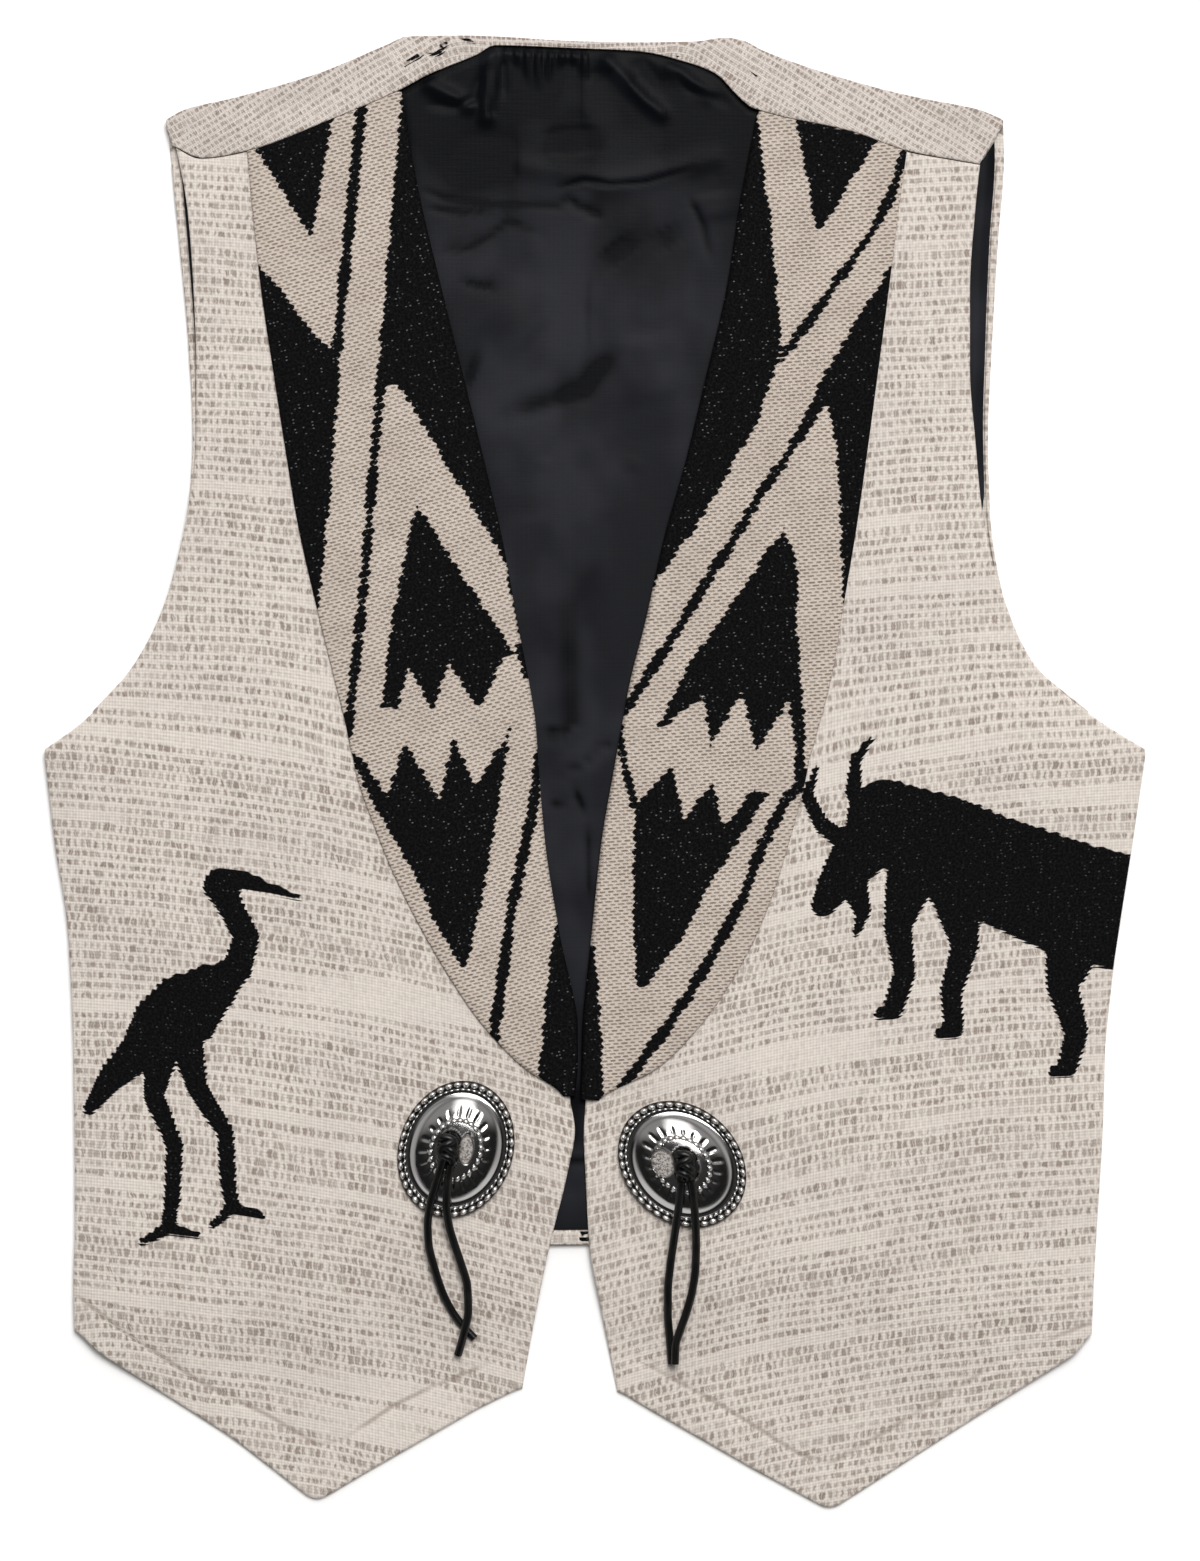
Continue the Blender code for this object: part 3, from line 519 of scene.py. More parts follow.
def smooth(knots: Places, values: Places, at: Places) -> np.ndarray:
    """A curve through values at knots that never swings past them.

    Args:
        knots: rising places.
        values: the value at each knot.
        at: places to read the curve at.

    Returns:
        The curve's values, in the shape of at.
    """
    knots = np.asarray(knots, float)
    values = np.asarray(values, float)
    at = np.asarray(at, float)
    step = np.diff(knots)
    slope = np.diff(values) / step
    lean = np.zeros_like(values)
    both = slope[:-1] + slope[1:]
    level = slope[:-1] * slope[1:] <= 0
    lean[1:-1] = np.where(level, 0.0, 2 * slope[:-1] * slope[1:] / np.where(level, 1.0, both))
    lean[0] = slope[0]
    lean[-1] = slope[-1]
    i = np.clip(np.searchsorted(knots, at, side="right") - 1, 0, len(step) - 1)
    t = np.clip((at - knots[i]) / step[i], 0.0, 1.0)
    start = (1 + 2 * t) * (1 - t) ** 2 * values[i] + t * (1 - t) ** 2 * lean[i] * step[i]
    end = t * t * (3 - 2 * t) * values[i + 1] - t * t * (1 - t) * lean[i + 1] * step[i]
    return start + end


def smooth_to_corner(values: Places, at: Places, corner: int) -> np.ndarray:
    """A curve through values at 0, 1, 2 and so on, which turns sharply at the corner."""
    upper = smooth(np.arange(corner + 1), values[:corner + 1], np.minimum(at, corner))
    lower = smooth(np.arange(corner, len(values)), values[corner:], np.maximum(at, corner))
    return np.where(np.asarray(at) <= corner, upper, lower)


def ease(t: Places) -> np.ndarray:
    """0 below 0, 1 above 1, and a smooth step between."""
    t = np.clip(t, 0.0, 1.0)
    return t * t * (3 - 2 * t)


def between(start: Places, end: Places, share: Places) -> Places:
    """The value at that share of the way from start to end."""
    return start + share * (end - start)


def stacked(x: Places, y: Places, z: Places) -> np.ndarray:
    """One grid of points from its coordinates."""
    return np.stack(np.broadcast_arrays(x, y, z), axis=-1)


def seam_y(x: Places) -> np.ndarray:
    """Height in plan of the shoulder seams and the neck edge."""
    return smooth([s.edge_x for s in SHOULDERS], [s.edge_y for s in SHOULDERS], x)


def back_hem_y(x: Places) -> np.ndarray:
    """Height in plan of the back's arched hem."""
    share = np.minimum(np.abs(x) / BACK_HEM_HALF, 1.0)
    return between(BACK_HEM_CENTRE_Y, BACK_HEM_SIDE_Y, share ** 2)


def back_edge(side: Side, y: Places) -> np.ndarray:
    """X of the back's edge on that side at a height in plan."""
    edges = BACK_EDGES[::-1]
    column = [e.left_x if side is Side.LEFT else e.right_x for e in edges]
    places = np.interp(y, [e.y for e in edges], np.arange(len(edges)))
    return smooth_to_corner(column, places, len(edges) - 1 - BACK_PIT_ROW)


def to_segments(x: Places, y: Places, points: list) -> tuple[np.ndarray, np.ndarray, np.ndarray]:
    """The nearest place on a chain of segments.

    Args:
        x: places across.
        y: places up.
        points: the chain's points, whose first two numbers are X and Y.

    Returns:
        The distance to the chain, the index of the nearest segment, and the share along it.
    """
    best = np.full(np.broadcast(x, y).shape, 1e9)
    index = np.zeros(best.shape, int)
    share = np.zeros(best.shape)
    for number, (start, end) in enumerate(zip(points, points[1:])):
        along = np.array(end[:2], float) - np.array(start[:2], float)
        t = ((x - start[0]) * along[0] + (y - start[1]) * along[1]) / (along @ along)
        t = np.clip(t, 0.0, 1.0)
        away = np.hypot(x - start[0] - t * along[0], y - start[1] - t * along[1])
        nearer = away < best
        best = np.where(nearer, away, best)
        index = np.where(nearer, number, index)
        share = np.where(nearer, t, share)
    return best, index, share


def inside_outline(x: Places, y: Places, points: list) -> np.ndarray:
    """Distance in from a closed outline, negative outside it.

    Args:
        x: places across.
        y: places up.
        points: the outline's corners.

    Returns:
        The distance at each place.
    """
    ring = list(points) + [points[0]]
    away, _, _ = to_segments(x, y, ring)
    crossings = np.zeros(away.shape, int)
    for (ax, ay), (bx, by) in zip(ring, ring[1:]):
        spans = (ay > y) != (by > y)
        if ay != by:
            crossings += spans & (x < ax + (y - ay) * (bx - ax) / (by - ay))
    return np.where(crossings % 2 == 1, away, -away)


def inside_line(x: Places, y: Places, half: float, points: list) -> np.ndarray:
    """Distance in from the edge of a line of even width."""
    return half - to_segments(x, y, points)[0]


def inside_stroke(x: Places, y: Places, points: list) -> np.ndarray:
    """Distance in from the edge of a stroke whose half width changes from point to point."""
    away, index, share = to_segments(x, y, points)
    halves = np.array([p[2] for p in points], float)
    return between(halves[index], halves[index + 1], share) - away


def relief(x: Places, y: Places, creases: list) -> np.ndarray:
    """How far ridges and troughs lift the cloth, each dying out toward its ends.

    Args:
        x: places across.
        y: places up.
        creases: the ridges and troughs.

    Returns:
        The lift at each place.
    """
    raised = np.zeros(np.broadcast(x, y).shape)
    for crease in creases:
        away, index, share = to_segments(x, y, crease.points)
        place = (index + share) / (len(crease.points) - 1)
        fade = ease(place / CREASE_FADE) * ease((1 - place) / CREASE_FADE)
        ridge = crease.height * np.exp(-(away / crease.width) ** 2)
        raised = raised + ridge * (CREASE_END + (1 - CREASE_END) * fade)
    return raised


def waves(x: Places, y: Places) -> np.ndarray:
    """Slow, uneven waves of cloth that lies on a table, from -1 to 1."""
    first = np.sin(x / 23.0 + 0.8 * np.sin(y / 41.0))
    second = np.sin(y / 29.0 + 1.1 * np.sin(x / 37.0) + 1.7)
    third = np.sin((x + 0.6 * y) / 13.0 + 0.5)
    return 0.45 * first + 0.35 * second + 0.2 * third


def lip(distance: Places) -> np.ndarray:
    """Share of a wall's thickness at a distance in from its turned edge."""
    t = np.clip(distance / EDGE_TURN_WIDTH, 0.0, 1.0)
    return EDGE_LIP + (1 - EDGE_LIP) * np.sqrt(1 - (1 - t) ** 2)


def rounded(share: Places, power: int) -> np.ndarray:
    """Share of a narrow strip's thickness across it, less at both of its edges."""
    return STRIP_LIP + (1 - STRIP_LIP) * np.sqrt(1 - (2 * share - 1) ** power)


def edged(length: float, spacing: float) -> np.ndarray:
    """Places from 0 to length, close together at both ends for the turned edges."""
    last = EDGE_OFFSETS[-1]
    count = max(2, int((length - 2 * last) / spacing))
    middle = np.linspace(last, length - last, count + 1)
    return np.concatenate([EDGE_OFFSETS[:-1], middle, length - EDGE_OFFSETS[-2::-1]])


def meshed(form: bmesh.types.BMesh, name: str) -> bpy.types.Mesh:
    """Turns a form into a mesh, and frees the form.

    Args:
        form: the finished form.
        name: the mesh's name.

    Returns:
        The new mesh.
    """
    mesh = bpy.data.meshes.new(name)
    form.to_mesh(mesh)
    form.free()
    return mesh


def placed(name: str, data: bpy.types.ID) -> bpy.types.Object:
    """Puts a mesh, a curve, a camera or a lamp into the scene.

    Args:
        name: the object's name.
        data: what the object shows.

    Returns:
        The new object.
    """
    made = bpy.data.objects.new(name, data)
    bpy.context.scene.collection.objects.link(made)
    return made


class Signal:
    """A value in a material's graph, with arithmetic that adds its nodes."""

    def __init__(self, graph: Graph, socket: bpy.types.NodeSocket) -> None:
        """Keeps the graph and the socket that carries the value."""
        self.graph = graph
        self.socket = socket

    def __add__(self, other: Signal | float) -> Signal:
        """The sum."""
        return self.graph.math("ADD", self, other)

    __radd__ = __add__

    def __sub__(self, other: Signal | float) -> Signal:
        """The difference."""
        return self.graph.math("SUBTRACT", self, other)

    def __rsub__(self, other: Signal | float) -> Signal:
        """The difference, the other way round."""
        return self.graph.math("SUBTRACT", other, self)

    def __mul__(self, other: Signal | float) -> Signal:
        """The product."""
        return self.graph.math("MULTIPLY", self, other)

    __rmul__ = __mul__

    def __truediv__(self, other: Signal | float) -> Signal:
        """The quotient."""
        return self.graph.math("DIVIDE", self, other)

    def floor(self) -> Signal:
        """The whole number below."""
        return self.graph.math("FLOOR", self)

    def fract(self) -> Signal:
        """The part after the whole number."""
        return self.graph.math("FRACT", self)

    def abs(self) -> Signal:
        """The value without its sign."""
        return self.graph.math("ABSOLUTE", self)

    def sin(self) -> Signal:
        """The sine."""
        return self.graph.math("SINE", self)

    def larger(self, other: Signal | float) -> Signal:
        """The larger of two values."""
        return self.graph.math("MAXIMUM", self, other)

    def step(self, low: Signal | float, high: Signal | float) -> Signal:
        """0 below low, 1 above high, and a smooth step between."""
        return self.graph.step(self, low, high)


# What an input of a node can be given
Input = Signal | bpy.types.NodeSocket | float | tuple


class Graph:
    """One material and the nodes that make its finish."""

    def __init__(self, name: str) -> None:
        """Makes the material with its shader.

        Args:
            name: the material's name.
        """
        self.material = bpy.data.materials.new(name)
        self.material.use_nodes = True
        self.tree = self.material.node_tree
        self.shader = self.tree.nodes["Principled BSDF"]

    def feed(self, socket: bpy.types.NodeSocket, value: Input) -> None:
        """Links a signal or a socket to an input, or sets a plain value on it.

        Args:
            socket: the input.
            value: what it is given.
        """
        if isinstance(value, Signal):
            value = value.socket
        if isinstance(value, bpy.types.NodeSocket):
            self.tree.links.new(value, socket)
        else:
            socket.default_value = value

    def node(self, kind: str, *given: Input, **settings: str) -> bpy.types.Node:
        """A new node.

        Args:
            kind: the node's type.
            given: what its first inputs are given.
            settings: its properties.

        Returns:
            The node.
        """
        made = self.tree.nodes.new(kind)
        for key, value in settings.items():
            setattr(made, key, value)
        for socket, value in zip(made.inputs, given):
            self.feed(socket, value)
        return made

    def math(self, operation: str, *values: Input) -> Signal:
        """The result of one arithmetic node."""
        return Signal(self, self.node("ShaderNodeMath", *values, operation=operation).outputs[0])

    def step(self, value: Input, low: Input, high: Input) -> Signal:
        """A smooth step of a value between two limits."""
        made = self.node("ShaderNodeMapRange", value, low, high, interpolation_type="SMOOTHSTEP")
        return Signal(self, made.outputs[0])

    def parts(self, vector: bpy.types.NodeSocket) -> list[Signal]:
        """The three parts of a vector."""
        made = self.node("ShaderNodeSeparateXYZ", vector)
        return [Signal(self, output) for output in made.outputs]

    def thread(self) -> list[Signal]:
        """Place across and along the threads, in millimetres, from the UV map."""
        return self.parts(self.node("ShaderNodeUVMap", uv_map="thread").outputs[0])[:2]

    def attribute(self, name: str) -> Signal:
        """A number that is kept on the mesh."""
        made = self.node("ShaderNodeAttribute", attribute_name=name)
        return Signal(self, made.outputs["Fac"])

    def pair(self, x: Input, y: Input) -> bpy.types.NodeSocket:
        """A vector from two values."""
        return self.node("ShaderNodeCombineXYZ", x, y).outputs[0]

    def chance(self, x: Input, y: Input) -> Signal:
        """A random value from 0 to 1 for each pair of whole numbers."""
        made = self.node("ShaderNodeTexWhiteNoise", self.pair(x, y), noise_dimensions="2D")
        return Signal(self, made.outputs["Value"])

    def soft(self, place: bpy.types.NodeSocket, scale: float, detail: float, space: str) -> Signal:
        """Soft noise from 0 to 1.

        Args:
            place: where it is read.
            scale: how fine it is.
            detail: how many finer layers it has.
            space: 2D or 3D.

        Returns:
            The noise.
        """
        made = self.node("ShaderNodeTexNoise", place, noise_dimensions=space)
        made.inputs["Scale"].default_value = scale
        made.inputs["Detail"].default_value = detail
        return Signal(self, made.outputs[0])

    def noise(self, x: Input, y: Input, detail: float = 2.0) -> Signal:
        """Soft noise from 0 to 1 over two values."""
        return self.soft(self.pair(x, y), 1.0, detail, "2D")

    def object_noise(self, scale: float, detail: float = 2.0) -> Signal:
        """Soft noise in the object's own space."""
        return self.soft(self.node("ShaderNodeTexCoord").outputs["Object"], scale, detail, "3D")

    def blend(self, factor: Input, first: Input, second: Input) -> bpy.types.NodeSocket:
        """A colour between two colours.

        Args:
            factor: the share of the second.
            first: a colour.
            second: a colour.

        Returns:
            The colour.
        """
        made = self.node("ShaderNodeMix", factor, data_type="RGBA")
        for socket, colour in ((made.inputs[6], first), (made.inputs[7], second)):
            self.feed(socket, (*colour, 1.0) if isinstance(colour, tuple) else colour)
        return made.outputs[2]

    def bump(self, height: Input, distance: float, strength: float = 1.0) -> None:
        """Bumps the shader's surface.

        Args:
            height: the height from 0 to 1.
            distance: what a height of 1 stands for, in metres.
            strength: how strongly it shows.
        """
        made = self.node("ShaderNodeBump", strength, distance)
        self.feed(made.inputs["Height"], height)
        self.feed(self.shader.inputs["Normal"], made.outputs[0])

    def finish(self, colour: Input, roughness: Input, **values: float) -> bpy.types.Material:
        """Sets the shader's inputs.

        Args:
            colour: the base colour.
            roughness: the roughness.
            values: other inputs by name, with an underscore for a space.

        Returns:
            The material.
        """
        self.feed(self.shader.inputs["Base Color"], colour)
        self.feed(self.shader.inputs["Roughness"], roughness)
        for key, value in values.items():
            self.shader.inputs[key.replace("_", " ")].default_value = value
        return self.material


class WorldGraph(Graph):
    """The nodes of a world's light."""

    def __init__(self, tree: bpy.types.NodeTree) -> None:
        """Keeps the world's node tree."""
        self.tree = tree

    def direction(self) -> list[Signal]:
        """The three parts of the direction that light comes from."""
        return self.parts(self.node("ShaderNodeTexCoord").outputs["Generated"])


@dataclass(frozen=True)
class BlackYarn:
    """Black yarn of the animals and of the lapels' inlay, with small painted glints."""

    dark: tuple = (0.0028, 0.0028, 0.0032)
    light: tuple = (0.0078, 0.0078, 0.0083)
    glint: tuple = (0.11, 0.114, 0.118)
    glint_cell: float = 1.9
    glint_row: float = 1.42
    glint_chance: float = 0.80
    glint_narrow: float = 3.6
    glint_short: float = 4.2

    def colour(self, graph: Graph, u: Signal, v: Signal) -> bpy.types.NodeSocket:
        """The yarn's colour at a place, with a mottled pile and a few painted glints.

        Args:
            graph: the material's graph.
            u: place across the threads.
            v: place along them.

        Returns:
            The colour.
        """
        mottle = graph.noise(u * 0.9, v * 0.9, 3.0).step(0.35, 0.75)
        pile = graph.blend(mottle, self.dark, self.light)
        # Painted glints: a few small specks of lighter colour that stand in for highlights on the yarn's
        # loops
        across = u / self.glint_cell
        along = v / self.glint_row
        chosen = graph.chance(across.floor(), along.floor()).step(self.glint_chance, 1.0)
        offset = graph.chance(across.floor() + 13.0, along.floor()) * 0.5 + 0.25
        near_u = (across.fract() - offset) * self.glint_narrow
        near_v = (along.fract() - 0.5) * self.glint_short
        spot = 1.0 - (near_u * near_u + near_v * near_v).step(0.2, 1.0)
        return graph.blend(chosen * spot, pile, self.glint)


@dataclass(frozen=True)
class BodyCloth:
    """Natural cotton with rows of soft taupe marks, and animals worked in black."""

    cream: tuple = (0.735, 0.672, 0.606)
    shade: tuple = (0.500, 0.452, 0.424)
    taupe: tuple = (0.265, 0.217, 0.183)
    row_pitch: float = 4.04
    mark_pitch: float = 2.95
    thread_pitch: float = 1.3
    bump_height: float = 0.00034
    # Colour of the painted glints on the animals' black yarn, dimmer than on the lapels
    yarn_glint: tuple = (0.052, 0.054, 0.057)

    def material(self, name: str, patterned: bool) -> bpy.types.Material:
        """The finish, with or without the mask for black yarn.

        Args:
            name: the material's name.
            patterned: whether the mesh carries a motif attribute.

        Returns:
            The new material.
        """
        graph = Graph(name)
        u, v = graph.thread()
        dense = graph.attribute("dense") if patterned else 0.0
        mark = self.marks(graph, u, v, dense)
        grain = self.threads(graph, u, v)
        tone = graph.noise(u * 0.02, v * 0.02, 3.0).step(0.3, 0.75)
        spot = graph.chance((u / self.thread_pitch).floor(), (v / self.thread_pitch).floor())
        # Painted shade: the density value also darkens the ground, on the back's strips and most on the
        # outer side of the shoulder fold; the rest is random tone, weave gaps and thread spots
        worn = tone * 0.16 + (1.0 - grain) * 0.55 + spot * spot * 0.22 + dense * 0.30
        ground = graph.blend(worn, self.cream, self.shade)
        cloth = graph.blend(mark, ground, self.taupe)
        height = grain * 0.45 + (1.0 - mark) * 0.55
        if not patterned:
            graph.bump(height, self.bump_height)
            return graph.finish(cloth, 0.95, Specular_IOR_Level=0.04)
        # Painted shadow along the line of the turned hem: a thin band blended toward taupe, stronger in
        # some places than in others
        hem_line_shadow = 1.0 - graph.attribute("press").abs().step(0.15, 1.7)
        hem_shadow_strength = graph.noise(u * 0.05, v * 0.05 + 7.0, 1.0).step(0.36, 0.58)
        cloth = graph.blend(hem_line_shadow * (hem_shadow_strength * 0.45 + 0.15), cloth, self.taupe)
        teeth = ((v / (2 * self.thread_pitch)).fract() - 0.5) * 1.1
        ragged = (graph.chance((v / self.thread_pitch).floor(), 3.0) - 0.5) * 0.7
        black = (graph.attribute("motif") + teeth + ragged).step(-0.18, 0.22)
        yarn = BlackYarn(glint=self.yarn_glint).colour(graph, u, v)
        graph.bump(height * (1.0 - black) + black * (grain * 0.3 + 0.7), self.bump_height)
        return graph.finish(graph.blend(black, cloth, yarn), 0.95, Specular_IOR_Level=0.04)

    def marks(self, graph: Graph, u: Signal, v: Signal, dense: Signal | float) -> Signal:
        """How strongly the taupe marks show, in groups of rows, or in all rows where dense is 1.

        Args:
            graph: the material's graph.
            u: place across the threads.
            v: place along them.
            dense: 0 for groups, 1 for all rows.

        Returns:
            The strength from 0 to 1.
        """
        drift = (graph.noise(u * 0.016, v * 0.016, 1.0) - 0.5) * 5.0
        wobble_u = (graph.noise(u * 0.4, v * 0.4, 1.0) - 0.5) * 1.7
        wobble_v = (graph.noise(u * 0.3 + 50.0, v * 0.3, 1.0) - 0.5) * 1.5
        across_at = u + wobble_u
        row = (v + drift + wobble_v) / self.row_pitch
        row_id = row.floor()
        from_row = (row.fract() - 0.5).abs() * self.row_pitch
        group = graph.noise(u * 0.006, row_id * 0.62, 0.0).step(0.25, 0.37) * 0.86 + 0.14
        group = group.larger(dense)
        local = graph.noise(u * 0.03 + 40.0, row_id * 0.9, 1.0).step(0.20, 0.50)
        shifted = across_at / self.mark_pitch + graph.chance(row_id, 7.0)
        cell = shifted.floor()
        spread = graph.chance(cell, row_id)
        place = (graph.chance(cell + 31.0, row_id) - 0.5) * 0.9
        power = graph.chance(cell + 67.0, row_id)
        from_mark = ((shifted.fract() - 0.5) * self.mark_pitch - place).abs()
        half = spread * 0.72 + 0.52
        across = 1.0 - graph.step(from_mark, half - 0.50, half + 0.52)
        tall = graph.chance(row_id, 19.0).step(0.70, 0.80) * 0.5 + spread * 0.2
        along = 1.0 - graph.step(from_row, tall + 0.40, tall + 1.6)
        thread = ((across_at / self.thread_pitch).fract() - 0.5).abs().step(0.28, 0.5)
        crossing = 1.0 - thread * graph.chance(cell + 5.0, row_id + 9.0) * 0.75
        return across * along * crossing * group * (local * 0.35 + 0.65) * (power * 0.40 + 0.60)

    def threads(self, graph: Graph, u: Signal, v: Signal) -> Signal:
        """The plain weave between the marks, from 0 in its gaps to 1 on its threads."""
        warp = (u * (TAU / self.thread_pitch)).sin() * 0.25 + 0.5
        weft = (v * (TAU / (self.thread_pitch * 1.03))).sin() * 0.25
        slub = graph.noise(u * 0.25, v * 1.6, 2.0) * 0.5 - 0.25
        return warp + weft + slub


@dataclass(frozen=True)
class LapelCloth:
    """Natural ground of slanting stitches with a geometric inlay in black."""

    stitch: tuple = (0.550, 0.480, 0.420)
    gap: tuple = (0.215, 0.165, 0.135)
    row_pitch: float = 1.42
    stitch_pitch: float = 3.6
    tooth_depth: float = 2.2
    bump_height: float = 0.00036

    def material(self, name: str) -> bpy.types.Material:
        """The finish, which reads the motif attribute for its inlay.

        Args:
            name: the material's name.

        Returns:
            The new material.
        """
        graph = Graph(name)
        u, v = graph.thread()
        row = v / self.row_pitch
        row_id = row.floor()
        from_row = (row.fract() - 0.5).abs() * self.row_pitch
        shifted = u / self.stitch_pitch + row_id * 0.5 + graph.chance(row_id, 3.0) * 0.12
        cell = shifted.floor()
        from_gap = (shifted.fract() - 0.5).abs() * self.stitch_pitch
        power = graph.chance(cell, row_id)
        half = power * 0.5 + 0.85
        across = 1.0 - graph.step(from_gap, half - 0.4, half + 0.5)
        along = 1.0 - graph.step(from_row, 0.08, 0.58)
        dark = across * along * (graph.chance(cell + 11.0, row_id) * 0.5 + 0.5)
        soft = graph.noise(u * 0.05, v * 0.05, 3.0).step(0.3, 0.75)
        ground = graph.blend(soft * 0.16, self.stitch, self.gap)
        cloth = graph.blend(dark, ground, self.gap)
        phase = (v / (2 * self.row_pitch)).fract() - 0.5
        tooth = (0.5 - phase.abs() * 2.0) * self.tooth_depth * 0.5
        ragged = (graph.chance((v / (2 * self.row_pitch)).floor(), 5.0) - 0.5) * 1.3
        black = (graph.attribute("motif") + tooth + ragged).step(-0.2, 0.2)
        yarn = BlackYarn().colour(graph, u, v)
        height = (1.0 - across * along) * (1.0 - black) + black * 0.8
        graph.bump(height, self.bump_height)
        return graph.finish(graph.blend(black, cloth, yarn), 0.95, Specular_IOR_Level=0.04)


@dataclass(frozen=True)
class Satin:
    """Charcoal satin with a fine weave and a soft shine."""

    dark: tuple = (0.0022, 0.0026, 0.0036)
    light: tuple = (0.0200, 0.0208, 0.0253)
    weave_pitch: float = 0.55
    bump_height: float = 0.00006

    def material(self, name: str) -> bpy.types.Material:
        """The finish.

        Args:
            name: the material's name.

        Returns:
            The new material.
        """
        graph = Graph(name)
        u, v = graph.thread()
        tone = graph.noise(u * 0.028, v * 0.022, 2.0).step(0.32, 0.68)
        weave = (u * (TAU / self.weave_pitch)).sin() * 0.5 + 0.5
        slub = graph.noise(u * 0.08, v * 1.1, 2.0)
        graph.bump(weave * 0.4 + slub * 0.6, self.bump_height)
        # The shade attribute is painted shade from creases, hollows, gathers and the neck; the tone adds
        # random darker patches
        shade = graph.attribute("shade") + (1.0 - tone) * 0.55
        return graph.finish(graph.blend(shade, self.light, self.dark), slub * 0.10 + 0.36,
                            Specular_IOR_Level=0.05)


@dataclass(frozen=True)
class Silver:
    """Polished silver with dark tarnish left in its cuts."""

    bright: tuple = (0.36, 0.35, 0.345)
    polished: tuple = (0.66, 0.645, 0.63)
    dark: tuple = (0.010, 0.0095, 0.009)
    cloth: tuple = (0.42, 0.39, 0.365)
    cloth_gap: tuple = (0.13, 0.115, 0.105)

    def material(self, name: str) -> bpy.types.Material:
        """The finish, which reads the tarnish and window attributes.

        Args:
            name: the material's name.

        Returns:
            The new material.
        """
        graph = Graph(name)
        marked = graph.attribute("tarnish")
        cuts = marked.larger(0.0)
        raised = (0.0 - marked).step(0.0, 0.6)
        window = graph.attribute("window")
        wear = graph.object_noise(420.0, 3.0)
        scratch = graph.object_noise(2600.0, 2.0)
        metal = graph.blend(cuts * (wear * 0.35 + 0.75), self.bright, self.dark)
        metal = graph.blend(raised, metal, self.polished)
        weave = graph.object_noise(1200.0, 2.0).step(0.42, 0.62)
        cloth = graph.blend(weave, self.cloth, self.cloth_gap)
        colour = graph.blend(window, metal, cloth)
        rough = cuts * 0.35 + wear * 0.10 + 0.06 + window * 0.4 + raised * 0.26
        graph.bump(scratch, 0.00002, 0.4)
        graph.feed(graph.shader.inputs["Metallic"], 1.0 - window)
        return graph.finish(colour, rough)


@dataclass(frozen=True)
class Leather:
    """Black leather lace with a dull shine and a fine grain."""

    dark: tuple = (0.0024, 0.0024, 0.0023)
    worn: tuple = (0.0080, 0.0078, 0.0074)

    def material(self, name: str) -> bpy.types.Material:
        """The finish.

        Args:
            name: the material's name.

        Returns:
            The new material.
        """
        graph = Graph(name)
        grain = graph.object_noise(900.0, 4.0)
        rubbed = graph.object_noise(90.0, 2.0).step(0.45, 0.8)
        graph.bump(grain, 0.00012, 0.7)
        return graph.finish(graph.blend(rubbed, self.dark, self.worn), grain * 0.12 + 0.26,
                            Specular_IOR_Level=0.28)


@dataclass(frozen=True)
class PaleFloor:
    """Plain pale ground with a trace of unevenness."""

    light: tuple = (0.97, 0.97, 0.97)
    dark: tuple = (0.96, 0.96, 0.96)

    def material(self, name: str) -> bpy.types.Material:
        """The finish.

        Args:
            name: the material's name.

        Returns:
            The new material.
        """
        graph = Graph(name)
        tone = graph.object_noise(3.0, 2.0)
        return graph.finish(graph.blend(tone, self.light, self.dark), 0.9)


